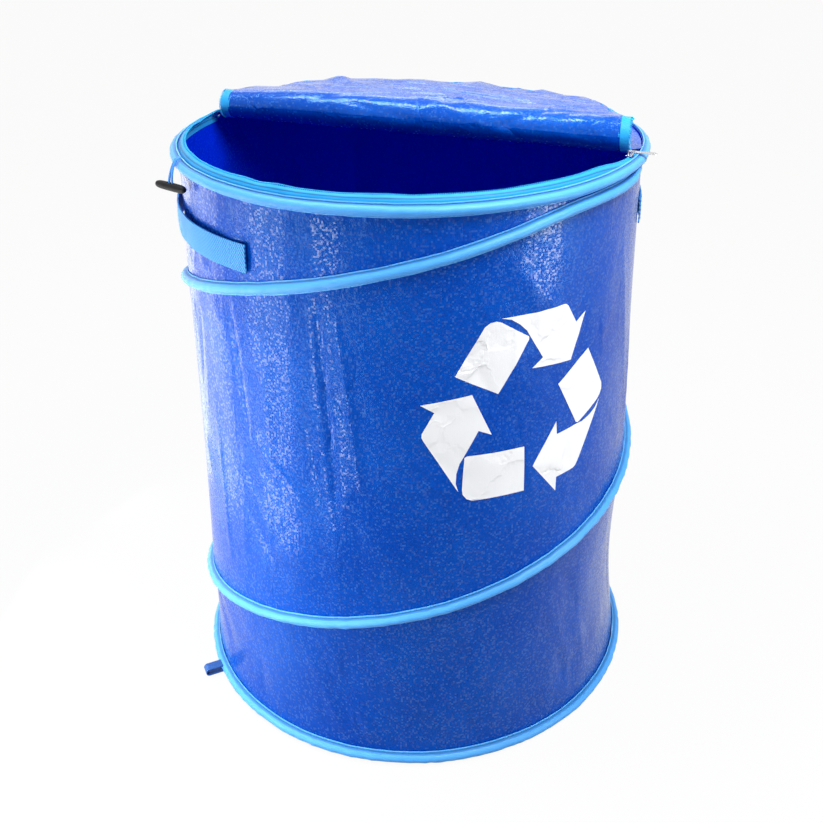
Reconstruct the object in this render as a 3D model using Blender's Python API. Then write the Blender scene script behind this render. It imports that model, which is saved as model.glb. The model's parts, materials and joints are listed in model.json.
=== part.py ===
# Collapsible trash can: a pop-up bin of woven-PE tarpaulin on a steel spiral, with a zipped lid
# whose front half is folded back. Metres, +Z up, origin at the centre of the base's underside.
# The front of the object is towards -Y.

import bpy
import bmesh
from math import acos, asin, ceil, cos, degrees, pi, radians, sin, tan
from mathutils import Matrix, Vector

# Body

BIN_RADIUS = 0.241          # outer face of the binding
BIN_HEIGHT = 0.596          # floor to the top of the rim binding
FABRIC = 0.0010             # woven-PE sheet
SEAT = 0.0003               # gap between faces that touch
SEGMENTS = 60               # straight runs in a full circle
WALL_TOP_DROP = 0.0020      # the wall's edge below the top of the rim binding

# Spring and its casings

WIRE = 0.0030               # spring-steel wire
BAND_HEIGHT = 0.0130
BAND_DEPTH = 0.0075         # how far a casing stands out from the wall
BAND_TAPE = 0.0009
BAND_MOUTH = 0.0040         # open side of the casing, against the wall
BAND_CHAMFER = 0.0028
SPIRAL_START = -54.0        # angle where the spiral leaves the rim, degrees
SPIRAL_END = -624.0         # angle where it meets the base
SPIRAL_SAG = 0.0080         # how much the spiral's middle hangs below a straight rise
SPIRAL_WIRE_INSET = 2.0     # degrees from the casing's end to the wire's end
FERRULE_LENGTH = 0.012
FERRULE_WALL = 0.0006
FERRULE_FIT = 0.0004
FERRULE_SLIT = 50.0         # degrees of the sleeve's section left open
FERRULE_ANGLE = 95.0        # both hoops are closed at the back
HOOP_GAP = 0.0010           # between the two wire ends in a ferrule

# Lid and zip

LID_DROP = 0.0040           # top of the rim binding to the middle of the lid fabric
FOLD_NORMAL = 68.5          # the way from the front to the back of the lid, degrees from +X
FOLD_OFFSET = 0.008         # fold line behind the can's axis
ROLL_RADIUS = 0.017         # middle of the fabric round the fold
FLAP_SLOPE = 5.9            # the folded flap falls towards the back, degrees
FOLD_CLEARANCE = 0.0008     # between the fold and the panels beside it
COIL = 0.0016               # zip coil thickness
RIM_COIL_INSET = 0.0060     # from the casing's inner side in to the middle of the rim's coil
COIL_SPACING = 0.0032       # between the middles of the two coils
ZIP_TAPE = 0.0008           # zip tape thickness
FLAP_TAPE_WIDTH = 0.0081
ROLL_TAPE_INSET = 0.0063    # from the middle of the flap's coil in to the outer end of the fold's tape
ROLL_TAPE_WIDTH = 0.0097
TAPE_STEP = 0.0003          # gap beside a tape
ZIP_END_INSET = 1.5         # degrees from a zip end to the coil's end
STOP_LENGTH = 0.0026
STOP_DEPTH = 0.0018
STOP_HEIGHT = 0.0020

# Slider and pull

SLIDER_ANGLE = -23.5
SLIDER_LENGTH = 0.0110
SLIDER_WIDTH = 0.0062
SLIDER_PLATE = 0.0010
SLIDER_WEB = 0.0005
SLIDER_GAP = 0.0004         # plate to coil
BRIDGE_INSIDE = 0.0018
BRIDGE_RISE = 0.0036
BRIDGE_WALL = 0.0007
BRIDGE_WIDTH = 0.0016
PULL_LENGTH = 0.0260
PULL_WIDTH = 0.0062
PULL_THICKNESS = 0.0009
PULL_EYE_LENGTH = 0.0044
PULL_EYE_FIT = 0.0004       # bridge to the side of the eye
PULL_RISE = 0.0028          # pull's middle above the slider's top plate
PULL_HOLE = 0.0026

# Toggles and base loops

LEFT_PAIR = -156.0          # angle of the left toggle and of the base loop below it, degrees
RIGHT_PAIR = 30.0
CORD = 0.0022
CORD_START_SPREAD = 0.0028  # between the two strands at the rim
CORD_SPREAD = 0.0048        # between the two strands at the bar
SHOULDER_DROP = 0.0025      # rim top to where the loop leaves the binding
TOGGLE_DROP = 0.0230        # that place to the middle of the bar
TOGGLE_STANDOFF = 0.0065    # bar's middle in front of the binding's face
TOGGLE_LENGTH = 0.0400
TOGGLE_DIAMETER = 0.0082
TOGGLE_END = 0.0060         # diameter of the bar's ends
TOGGLE_SLOT = 0.0080
TOGGLE_SLOT_WIDTH = 0.0030
TOGGLE_SLOT_FLOOR = 0.0017  # slot's floor below the bar's middle
LEFT_TOGGLE_TURN = 28.0     # the bar's turn from the wall's tangent, degrees
RIGHT_TOGGLE_TURN = 0.0
LOOP_REACH = 0.0180
LOOP_HEIGHT = 0.0082
LOOP_WIDTH = 0.0110
LOOP_LEVEL = 0.0070
RIBBON = 0.0008

# Handles

LEFT_HANDLE = -162.0        # angle of the handle's middle, degrees
RIGHT_HANDLE = 18.0
HANDLE_DROP = 0.0680        # top of the rim binding to the strap's middle
HANDLE_HALF_ANGLE = 36.0
HANDLE_END_ANGLE = 6.0      # sewn length at each end, degrees
HANDLE_END_GAP = 0.1        # between the strap and its sewn end, degrees
HANDLE_WIDTH = 0.0270
WEBBING = 0.0014
HANDLE_SLACK = 0.0030       # how far the strap's middle stands off the wall

# What follows from them

FLAT = cos(pi / SEGMENTS)   # a faceted circle's flats, as a share of its radius
BAND_INNER = BIN_RADIUS - BAND_DEPTH
WALL_OUTER = BAND_INNER - SEAT
WALL_INNER = WALL_OUTER - FABRIC
FERRULE_RADIUS = WIRE / 2 + FERRULE_FIT + FERRULE_WALL
HOOP_RADIUS = BIN_RADIUS - BAND_TAPE - SEAT - FERRULE_RADIUS
SPIRAL_WIRE_RADIUS = BIN_RADIUS - BAND_TAPE - SEAT - WIRE / 2
RIM_LEVEL = BIN_HEIGHT - BAND_HEIGHT / 2
LID_LEVEL = BIN_HEIGHT - LID_DROP
HANDLE_LEVEL = BIN_HEIGHT - HANDLE_DROP
BASE_LEVEL = BAND_HEIGHT / 2
SEWN_RADIUS = WALL_INNER * FLAT - SEAT
RIM_COIL_RADIUS = BAND_INNER - RIM_COIL_INSET
FLAP_COIL_RADIUS = RIM_COIL_RADIUS - COIL_SPACING
FLAP_TAPE_OUTER = FLAP_COIL_RADIUS - COIL / 2 - TAPE_STEP
FLAP_TAPE_INNER = FLAP_TAPE_OUTER - FLAP_TAPE_WIDTH
FLAP_RADIUS = FLAP_TAPE_INNER - TAPE_STEP
RIM_TAPE_INNER = RIM_COIL_RADIUS + COIL / 2 + TAPE_STEP
ROLL_TAPE_REACH = FLAP_COIL_RADIUS - ROLL_TAPE_INSET
ROLL_TAPE_START = ROLL_TAPE_REACH - ROLL_TAPE_WIDTH
ROLL_HALF = ROLL_TAPE_START - TAPE_STEP
FOLD_HALF_ANGLE = degrees(acos(FOLD_OFFSET / FLAP_COIL_RADIUS))
ZIP_RIGHT = FOLD_NORMAL - FOLD_HALF_ANGLE
ZIP_LEFT = FOLD_NORMAL + FOLD_HALF_ANGLE - 360.0
ROLL_TURN = 180.0 + FLAP_SLOPE
ROLL_LENGTH = ROLL_RADIUS * radians(ROLL_TURN)
FLAP_CENTRE = FOLD_OFFSET - ROLL_LENGTH
SLIDER_RADIUS = RIM_COIL_RADIUS - COIL_SPACING / 2
SLIDER_TOP = COIL / 2 + SLIDER_GAP + SLIDER_PLATE


# Scene and materials

def clear_scene():
    for thing in list(bpy.data.objects):
        bpy.data.objects.remove(thing, do_unlink=True)


def collection(name):
    made = bpy.data.collections.new(name)
    bpy.context.scene.collection.children.link(made)
    return made


clear_scene()
PARTS = collection("collapsible_trash_can")
CUTTERS = collection("cutters")


def finish(name, colour, roughness, metallic=0.0):
    material = bpy.data.materials.new(name)
    material.use_nodes = True
    shader = material.node_tree.nodes["Principled BSDF"]
    shader.inputs["Base Color"].default_value = (*colour, 1.0)
    shader.inputs["Roughness"].default_value = roughness
    shader.inputs["Metallic"].default_value = metallic
    return material


FINISHES = {
    "tarpaulin": ((0.0, 0.12, 0.78), 0.30, 0.0),
    "binding": ((0.06, 0.33, 0.85), 0.50, 0.0),
    "zip": ((0.02, 0.36, 0.80), 0.55, 0.0),
    "webbing": ((0.05, 0.25, 0.80), 0.70, 0.0),
    "ribbon": ((0.01, 0.08, 0.35), 0.70, 0.0),
    "elastic": ((0.10, 0.38, 0.88), 0.60, 0.0),
    "black_plastic": ((0.01, 0.01, 0.01), 0.40, 0.0),
    "slider_metal": ((0.75, 0.75, 0.77), 0.25, 1.0),
    "spring_steel": ((0.45, 0.46, 0.48), 0.35, 1.0),
}


# Placing and shaping

def add(name, data, slot):
    """A new part with its own material."""
    data.materials.append(finish(name + "_" + slot, *FINISHES[slot]))
    made = bpy.data.objects.new(name, data)
    PARTS.objects.link(made)
    return made


def joint_axis(name, place, along, up=Vector((0.0, 0.0, 1.0))):
    """An empty on a joint's axis, with its X along the axis."""
    made = bpy.data.objects.new(name, None)
    made.empty_display_size = 0.02
    PARTS.objects.link(made)
    made.matrix_world = upright(place, along, up)
    return made


def carry(parent, children):
    """Parents pieces to a joint's empty and leaves them where they are."""
    bpy.context.view_layer.update()
    for child in children:
        child.parent = parent
        child.matrix_parent_inverse = parent.matrix_world.inverted()


def upright(place, x_way, up=Vector((0.0, 0.0, 1.0))):
    """A placement whose X looks along x_way and whose Z is as near up as it can be."""
    x = x_way.normalized()
    y = up.cross(x).normalized()
    z = x.cross(y)
    return Matrix.Translation(place) @ Matrix((x, y, z)).transposed().to_4x4()


def around(radius, angle, level):
    """The point at a radius and an angle in degrees round the can's axis."""
    return Vector((radius * cos(radians(angle)), radius * sin(radians(angle)), level))


def outward(angle):
    return around(1.0, angle, 0.0)


def tangent(angle):
    return around(1.0, angle + 90.0, 0.0)


def swept(name, section, stations, slot, closed=False):
    """A closed outline of (across, up) points carried through stations, which place them."""
    shape = bmesh.new()
    rings = []
    for station in stations:
        rings.append([shape.verts.new(station(across, up)) for across, up in section])
    pairs = list(zip(rings, rings[1:]))
    if closed:
        pairs.append((rings[-1], rings[0]))
    for first, second in pairs:
        for i in range(len(section)):
            j = (i + 1) % len(section)
            shape.faces.new((first[i], first[j], second[j], second[i]))
    if not closed:
        shape.faces.new(rings[0])
        shape.faces.new(rings[-1])
    bmesh.ops.recalc_face_normals(shape, faces=shape.faces)
    mesh = bpy.data.meshes.new(name)
    shape.to_mesh(mesh)
    shape.free()
    return add(name, mesh, slot)


def ring(first, last, level=None, stand=None):
    """Stations from one angle to another. Across is the radius; level and stand shift it."""
    count = max(1, ceil(abs(last - first) / 360.0 * SEGMENTS - 0.001))
    stations = []
    for i in range(count + 1):
        angle = first + (last - first) * i / count
        rise = level(angle) if level else 0.0
        out = stand(angle) if stand else 0.0
        stations.append(lambda across, up, angle=angle, rise=rise, out=out:
                        around(across + out, angle, up + rise))
    return stations


def full_ring():
    return ring(0.0, 360.0)[:-1]


def straight(placement, ends):
    """Stations along a placement's X, for a section in its Y and Z."""
    return [lambda across, up, x=x: placement @ Vector((x, across, up)) for x in ends]


def oblong(inner, outer, low, high):
    return [(inner, low), (outer, low), (outer, high), (inner, high)]


def disc(diameter, sides, across, level):
    return [(across + diameter / 2 * cos(2 * pi * i / sides),
             level + diameter / 2 * sin(2 * pi * i / sides)) for i in range(sides)]


def arc(radius, first, last, centre=(0.0, 0.0), step=6.0):
    count = max(2, ceil(abs(last - first) / step - 0.001))
    points = []
    for i in range(count + 1):
        angle = radians(first + (last - first) * i / count)
        points.append((centre[0] + radius * cos(angle), centre[1] + radius * sin(angle)))
    return points


def sheet(name, outlines, thickness, slot):
    """A flat piece: the first outline is its edge and any others are holes."""
    curve = bpy.data.curves.new(name, "CURVE")
    curve.dimensions = "2D"
    curve.fill_mode = "BOTH"
    curve.extrude = thickness / 2
    for points in outlines:
        spline = curve.splines.new("POLY")
        spline.points.add(len(points) - 1)
        for target, (x, y) in zip(spline.points, points):
            target.co = (x, y, 0.0, 1.0)
        spline.use_cyclic_u = True
    return add(name, curve, slot)


def tube(name, points, diameter, slot):
    curve = bpy.data.curves.new(name, "CURVE")
    curve.dimensions = "3D"
    curve.bevel_depth = diameter / 2
    curve.bevel_resolution = 2
    curve.use_fill_caps = True
    spline = curve.splines.new("POLY")
    spline.points.add(len(points) - 1)
    for target, point in zip(spline.points, points):
        target.co = (*point, 1.0)
    return add(name, curve, slot)


def combine(made, other, operation):
    """Cuts or joins a piece with another, which becomes a hidden cutter."""
    PARTS.objects.unlink(other)
    CUTTERS.objects.link(other)
    other.hide_render = True
    other.display_type = "WIRE"
    change = made.modifiers.new(operation.lower(), "BOOLEAN")
    change.operation = operation
    change.object = other


# Floor, wall, spring and casings

def casing():
    """The C of the binding tape round a wire, open towards the wall. Its middle is level 0."""
    half = BAND_HEIGHT / 2
    lip = BAND_MOUTH / 2
    outer_cut = BAND_CHAMFER
    inner_cut = BAND_CHAMFER + BAND_TAPE * (tan(pi / 8) - 1)
    back = BAND_INNER + BAND_TAPE
    face = BIN_RADIUS - BAND_TAPE
    shelf = half - BAND_TAPE
    return [
        (BAND_INNER, -half),
        (BIN_RADIUS - outer_cut, -half),
        (BIN_RADIUS, -half + outer_cut),
        (BIN_RADIUS, half - outer_cut),
        (BIN_RADIUS - outer_cut, half),
        (BAND_INNER, half),
        (BAND_INNER, lip),
        (back, lip),
        (back, shelf),
        (face - inner_cut, shelf),
        (face, shelf - inner_cut),
        (face, -shelf + inner_cut),
        (face - inner_cut, -shelf),
        (back, -shelf),
        (back, -lip),
        (BAND_INNER, -lip),
    ]


def spiral_level(angle):
    """Middle of the spiral; its angle keeps counting down past -360."""
    top = RIM_LEVEL - BAND_HEIGHT - SEAT
    low = BASE_LEVEL + BAND_HEIGHT + SEAT
    share = (SPIRAL_START - angle) / (SPIRAL_START - SPIRAL_END)
    return top + (low - top) * share - SPIRAL_SAG * sin(pi * share)


def build_floor_and_wall():
    floor = sheet("base_panel", [arc(WALL_OUTER, 0.0, 360.0)[:-1]], FABRIC, "tarpaulin")
    floor.location.z = FABRIC / 2
    section = oblong(WALL_INNER, WALL_OUTER, FABRIC + SEAT, BIN_HEIGHT - WALL_TOP_DROP)
    swept("wall_panel", section, full_ring(), "tarpaulin", closed=True)


def build_hoop(name, level):
    """A wire hoop closed by a crimped sleeve, in its casing."""
    section = [(across, up + level) for across, up in casing()]
    binding = swept(name + "_binding", section, full_ring(), "binding", closed=True)
    gap = degrees(HOOP_GAP / HOOP_RADIUS)
    run = ring(FERRULE_ANGLE + gap / 2, FERRULE_ANGLE + 360.0 - gap / 2)
    wire = swept(name + "_wire", disc(WIRE, 6, HOOP_RADIUS, level), run, "spring_steel")
    inner = WIRE / 2 + FERRULE_FIT
    centre = (HOOP_RADIUS, level)
    first = FERRULE_SLIT / 2
    last = 360.0 - FERRULE_SLIT / 2
    section = arc(FERRULE_RADIUS, first, last, centre, step=36.0)
    section += reversed(arc(inner, first, last, centre, step=36.0))
    half = degrees(FERRULE_LENGTH / 2 / HOOP_RADIUS)
    run = ring(FERRULE_ANGLE - half, FERRULE_ANGLE + half)
    sleeve = swept(name + "_ferrule", section, run, "spring_steel")
    return [binding, wire, sleeve]


def build_spiral():
    swept("spiral_binding", casing(), ring(SPIRAL_START, SPIRAL_END, spiral_level), "binding")
    first = SPIRAL_START - SPIRAL_WIRE_INSET
    last = SPIRAL_END + SPIRAL_WIRE_INSET
    section = disc(WIRE, 6, SPIRAL_WIRE_RADIUS, 0.0)
    swept("spiral_wire", section, ring(first, last, spiral_level), "spring_steel")


# Lid: the rear panel stays, the roll is the fold, and the flap is the opened half.
# In the fold's own placement X runs along the fold, Y to the back and Z up.

FOLD_WAY = tangent(FOLD_NORMAL) * -1.0
FOLD = upright(around(FOLD_OFFSET, FOLD_NORMAL, LID_LEVEL), FOLD_WAY)


def roll_point(turn, radius=ROLL_RADIUS):
    """A point of the fold's round, in (back, up), after a turn in degrees from the rear panel."""
    return (-radius * sin(radians(turn)), ROLL_RADIUS - radius * cos(radians(turn)))


def turned(point, centre, angle):
    x = point[0] - centre[0]
    y = point[1] - centre[1]
    c = cos(radians(angle))
    s = sin(radians(angle))
    return (centre[0] + c * x - s * y, centre[1] + s * x + c * y)


def turning_point(start, end, angle):
    """The centre about which a turn by an angle carries start to end."""
    k = 0.5 / tan(radians(angle) / 2)
    dx = end[0] - start[0]
    dy = end[1] - start[1]
    return ((start[0] + end[0]) / 2 - k * dy, (start[1] + end[1]) / 2 + k * dx)


HALF_TURN = ROLL_TURN / 2
ROLL_HINGE = turning_point(roll_point(HALF_TURN), (-ROLL_LENGTH / 2, 0.0), HALF_TURN)
FLAP_CLOSED = turned((-ROLL_LENGTH, 0.0), ROLL_HINGE, -HALF_TURN)
FLAP_HINGE = turning_point(roll_point(ROLL_TURN), FLAP_CLOSED, HALF_TURN)


def in_fold(point):
    """The world place of a point given in (back, up)."""
    return FOLD @ Vector((0.0, point[0], point[1]))


def fold_section(thickness):
    outer = []
    inner = []
    count = 12
    for i in range(count + 1):
        turn = ROLL_TURN * i / count
        outer.append(roll_point(turn, ROLL_RADIUS + thickness / 2))
        inner.append(roll_point(turn, ROLL_RADIUS - thickness / 2))
    return outer + inner[::-1]


def segment(radius, centre, chord):
    """A disc's outline beyond a chord that runs along X."""
    first = degrees(asin((chord - centre) / radius))
    return arc(radius, first, 180.0 - first, (0.0, centre))


def build_rear_lid():
    outline = segment(SEWN_RADIUS, -FOLD_OFFSET, FOLD_CLEARANCE)
    panel = sheet("lid_rear_panel", [outline], FABRIC, "tarpaulin")
    panel.matrix_world = FOLD
    return panel


def build_roll():
    ends = straight(FOLD, (-ROLL_HALF, ROLL_HALF))
    pieces = [swept("lid_roll", fold_section(FABRIC), ends, "tarpaulin")]
    for side, name in ((-1.0, "roll_tape_left"), (1.0, "roll_tape_right")):
        ends = straight(FOLD, (side * ROLL_TAPE_START, side * ROLL_TAPE_REACH))
        pieces.append(swept(name, fold_section(ZIP_TAPE), ends, "zip"))
    return pieces


def build_flap():
    end = roll_point(ROLL_TURN)
    slope = Matrix.Rotation(radians(-FLAP_SLOPE), 4, "X")
    place = FOLD @ Matrix.Translation((0.0, end[0], end[1])) @ slope
    outline = segment(FLAP_RADIUS, FLAP_CENTRE, FOLD_CLEARANCE)
    flap = sheet("lid_flap", [outline], FABRIC, "tarpaulin")
    outer = segment(FLAP_TAPE_OUTER, FLAP_CENTRE, FOLD_CLEARANCE)
    inner = segment(FLAP_TAPE_INNER, FLAP_CENTRE, FOLD_CLEARANCE)
    tape = sheet("flap_zip_tape", [outer + inner[::-1]], ZIP_TAPE, "zip")
    flap.matrix_world = place
    tape.matrix_world = place
    first = degrees(asin((FOLD_CLEARANCE - FLAP_CENTRE) / FLAP_COIL_RADIUS))
    stations = []
    for x, y in arc(FLAP_COIL_RADIUS, first, 180.0 - first):
        way = Vector((x, y, 0.0)).normalized()
        stations.append(lambda across, up, way=way:
                        place @ (way * across + Vector((0.0, FLAP_CENTRE, up))))
    coil = swept("flap_zip_coil", disc(COIL, 6, FLAP_COIL_RADIUS, 0.0), stations, "zip")
    return [flap, tape, coil]


def build_rim_zip():
    half = ZIP_TAPE / 2
    section = oblong(RIM_TAPE_INNER, SEWN_RADIUS, LID_LEVEL - half, LID_LEVEL + half)
    tape = swept("rim_zip_tape", section, ring(ZIP_RIGHT, ZIP_LEFT), "zip")
    section = disc(COIL, 6, RIM_COIL_RADIUS, LID_LEVEL)
    run = ring(ZIP_RIGHT - ZIP_END_INSET, ZIP_LEFT + ZIP_END_INSET)
    coil = swept("rim_zip_coil", section, run, "zip")
    pieces = [tape, coil]
    half = STOP_DEPTH / 2
    rise = STOP_HEIGHT / 2
    section = oblong(RIM_COIL_RADIUS - half, RIM_COIL_RADIUS + half,
                     LID_LEVEL - rise, LID_LEVEL + rise)
    reach = degrees(STOP_LENGTH / 2 / RIM_COIL_RADIUS)
    for name, angle in (("zip_stop_right", ZIP_RIGHT - ZIP_END_INSET / 2),
                        ("zip_stop_left", ZIP_LEFT + ZIP_END_INSET / 2)):
        pieces.append(swept(name, section, ring(angle - reach, angle + reach), "slider_metal"))
    return pieces


# Slider and pull. In the slider's placement X runs along the zip, Y inwards and Z up.

def slider_place():
    centre = around(SLIDER_RADIUS, SLIDER_ANGLE, LID_LEVEL)
    return upright(centre, tangent(SLIDER_ANGLE))


def build_slider():
    place = slider_place()
    side = SLIDER_WIDTH / 2
    web = SLIDER_WEB / 2
    low = COIL / 2 + SLIDER_GAP
    body = [(-side, -SLIDER_TOP), (side, -SLIDER_TOP), (side, -low), (web, -low),
            (web, low), (side, low), (side, SLIDER_TOP), (-side, SLIDER_TOP),
            (-side, low), (-web, low), (-web, -low), (-side, -low)]
    ends = straight(place, (-SLIDER_LENGTH / 2, SLIDER_LENGTH / 2))
    slider = swept("zip_slider", body, ends, "slider_metal")
    inner = BRIDGE_INSIDE / 2
    outer = inner + BRIDGE_WALL
    root = SLIDER_TOP - SLIDER_PLATE / 2
    roof = SLIDER_TOP + BRIDGE_RISE
    arch = [(-outer, root), (-inner, root), (-inner, roof), (inner, roof),
            (inner, root), (outer, root), (outer, roof + BRIDGE_WALL), (-outer, roof + BRIDGE_WALL)]
    ends = straight(place, (-BRIDGE_WIDTH / 2, BRIDGE_WIDTH / 2))
    bridge = swept("bridge", arch, ends, "slider_metal")
    combine(slider, bridge, "UNION")
    return slider


def build_pull():
    place = slider_place() @ Matrix.Translation((0.0, 0.0, SLIDER_TOP + PULL_RISE))
    bar = PULL_THICKNESS / 2
    side = PULL_WIDTH / 2
    tip = PULL_LENGTH - side
    edge = [(-side, bar)] + arc(side, 180.0, 360.0, (0.0, -tip), step=30.0) + [(side, bar)]
    eye_side = BRIDGE_WIDTH / 2 + PULL_EYE_FIT
    eye = [(-eye_side, -bar), (-eye_side, -bar - PULL_EYE_LENGTH),
           (eye_side, -bar - PULL_EYE_LENGTH), (eye_side, -bar)]
    hole = arc(PULL_HOLE / 2, 0.0, 360.0, (0.0, -tip), step=45.0)[:-1]
    pull = sheet("zip_pull", [edge, eye, hole], PULL_THICKNESS, "slider_metal")
    pull.matrix_world = place
    hinge = joint_axis("zip_pull_hinge", place.to_translation(), tangent(SLIDER_ANGLE))
    carry(hinge, [pull])
    return hinge


# Toggles: an elastic loop sewn to the rim, with a bar on it

def toggle_loop_route(angle, bar_way):
    """Down one strand, round inside the bar and up the other."""
    start = around(BIN_RADIUS + CORD / 2 + SEAT, angle, BIN_HEIGHT - SHOULDER_DROP)
    bar = around(BIN_RADIUS + TOGGLE_STANDOFF, angle, start.z - TOGGLE_DROP)
    bend = CORD_SPREAD / 2
    bend_centre = bar + Vector((0.0, 0.0, bend + CORD / 2 - TOGGLE_SLOT_FLOOR + SEAT))
    strand = []
    count = 5
    for i in range(count):
        share = i / count
        middle = start.lerp(bend_centre, share)
        middle += outward(angle) * (CORD * sin(pi * share) / 2)
        way = tangent(angle).lerp(bar_way, share).normalized()
        spread = CORD_START_SPREAD + (CORD_SPREAD - CORD_START_SPREAD) * share
        strand.append((middle, way * (spread / 2)))
    route = [middle - offset for middle, offset in strand]
    for x, z in arc(bend, 180.0, 360.0, step=30.0):
        route.append(bend_centre + bar_way * x + Vector((0.0, 0.0, z)))
    route += [middle + offset for middle, offset in reversed(strand)]
    return route, bar, start


def build_toggle(side, angle, turn):
    bar_way = tangent(angle + turn)
    route, bar, start = toggle_loop_route(angle, bar_way)
    loop = tube("toggle_loop_" + side, route, CORD, "elastic")
    place = upright(bar, bar_way)
    half = TOGGLE_LENGTH / 2
    wide = TOGGLE_DIAMETER / 2
    narrow = TOGGLE_END / 2
    stations = []
    for x, radius in ((-half, narrow), (-half + narrow, wide), (half - narrow, wide),
                      (half, narrow)):
        stations.append(lambda across, up, x=x, radius=radius:
                        place @ Vector((x, across * radius, up * radius)))
    made = swept("toggle_bar_" + side, disc(2.0, 12, 0.0, 0.0), stations, "black_plastic")
    section = oblong(-TOGGLE_SLOT_WIDTH / 2, TOGGLE_SLOT_WIDTH / 2,
                     -TOGGLE_SLOT_FLOOR, TOGGLE_DIAMETER)
    ends = straight(place, (-TOGGLE_SLOT / 2, TOGGLE_SLOT / 2))
    combine(made, swept("slot_" + side, section, ends, "black_plastic"), "DIFFERENCE")
    hinge = joint_axis("toggle_hinge_" + side, start, tangent(angle))
    carry(hinge, [loop, made])
    return hinge


def build_base_loop(side, angle):
    """A ribbon folded into an eye, both ends sewn under the base binding."""
    half = LOOP_HEIGHT / 2
    inner = half - RIBBON
    start = BIN_RADIUS + SEAT
    bend = BIN_RADIUS + LOOP_REACH - half
    section = [(start, -half)] + arc(half, -90.0, 90.0, (bend, 0.0), step=30.0) + [(start, half)]
    section += [(start, inner)] + arc(inner, 90.0, -90.0, (bend, 0.0), step=30.0)
    section += [(start, -inner)]
    stations = []
    for shift in (-LOOP_WIDTH / 2, LOOP_WIDTH / 2):
        stations.append(lambda across, up, shift=shift:
                        around(across, angle, LOOP_LEVEL + up) + tangent(angle) * shift)
    swept("base_loop_" + side, section, stations, "ribbon")


def build_handle(side, middle):
    """A webbing strap, sewn down at both ends, whose middle stands a little off the wall."""
    half = HANDLE_HALF_ANGLE - HANDLE_END_ANGLE
    low = HANDLE_LEVEL - HANDLE_WIDTH / 2
    high = HANDLE_LEVEL + HANDLE_WIDTH / 2
    inner = WALL_OUTER + SEAT
    section = oblong(inner, inner + WEBBING, low, high)

    def slack(angle):
        return HANDLE_SLACK * (1.0 - ((angle - middle) / half) ** 4)

    strap = swept("handle_" + side, section, ring(middle - half, middle + half, stand=slack),
                  "webbing")
    sewn = []
    for end, way in (("front", 1.0), ("rear", -1.0)):
        if side == "right":
            way = -way
        first = middle + way * (half + HANDLE_END_GAP)
        last = middle + way * HANDLE_HALF_ANGLE
        sewn.append(swept("handle_" + side + "_end_" + end, section, ring(first, last), "webbing"))
    carrier = joint_axis("handle_carrier_" + side, around(WALL_OUTER, middle, HANDLE_LEVEL),
                         outward(middle))
    carry(carrier, sewn + [strap])
    return carrier


def build():
    build_floor_and_wall()
    build_hoop("base", BASE_LEVEL)
    build_spiral()
    rim = joint_axis("rim_collapse", Vector((0.0, 0.0, BIN_HEIGHT)), Vector((1.0, 0.0, 0.0)))
    roll_hinge = joint_axis("lid_roll_hinge", in_fold(ROLL_HINGE), FOLD_WAY)
    flap_hinge = joint_axis("lid_flap_hinge", in_fold(FLAP_HINGE), FOLD_WAY)
    carry(flap_hinge, build_flap())
    carry(roll_hinge, build_roll() + [flap_hinge])
    travel = joint_axis("zipper_travel", Vector((0.0, 0.0, LID_LEVEL)), Vector((1.0, 0.0, 0.0)))
    carry(travel, [build_slider(), build_pull()])
    carried = build_hoop("rim", RIM_LEVEL) + build_rim_zip()
    carried += [build_rear_lid(), roll_hinge, travel]
    carried.append(build_toggle("left", LEFT_PAIR, LEFT_TOGGLE_TURN))
    carried.append(build_toggle("right", RIGHT_PAIR, RIGHT_TOGGLE_TURN))
    carry(rim, carried)
    for side, angle in (("left", LEFT_PAIR), ("right", RIGHT_PAIR)):
        build_base_loop(side, angle)
    for side, middle in (("left", LEFT_HANDLE), ("right", RIGHT_HANDLE)):
        build_handle(side, middle)


build()
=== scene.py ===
# %% [markdown]
# # A pop-up bin of woven tarpaulin
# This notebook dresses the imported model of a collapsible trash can: cloth with creases, binding tapes
# over a steel spiral, a zip with its teeth, webbing handles and a white sign printed on the wall.
# The frame gives every place in metres, so each new piece starts from the frame's own boxes.

# %% Load the frame
import json
from math import acos, asin, atan2, cos, degrees, pi, radians, sin, sqrt

import bmesh
import bpy
import numpy as np
from mathutils import Matrix, Vector
from mathutils.bvhtree import BVHTree


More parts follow.
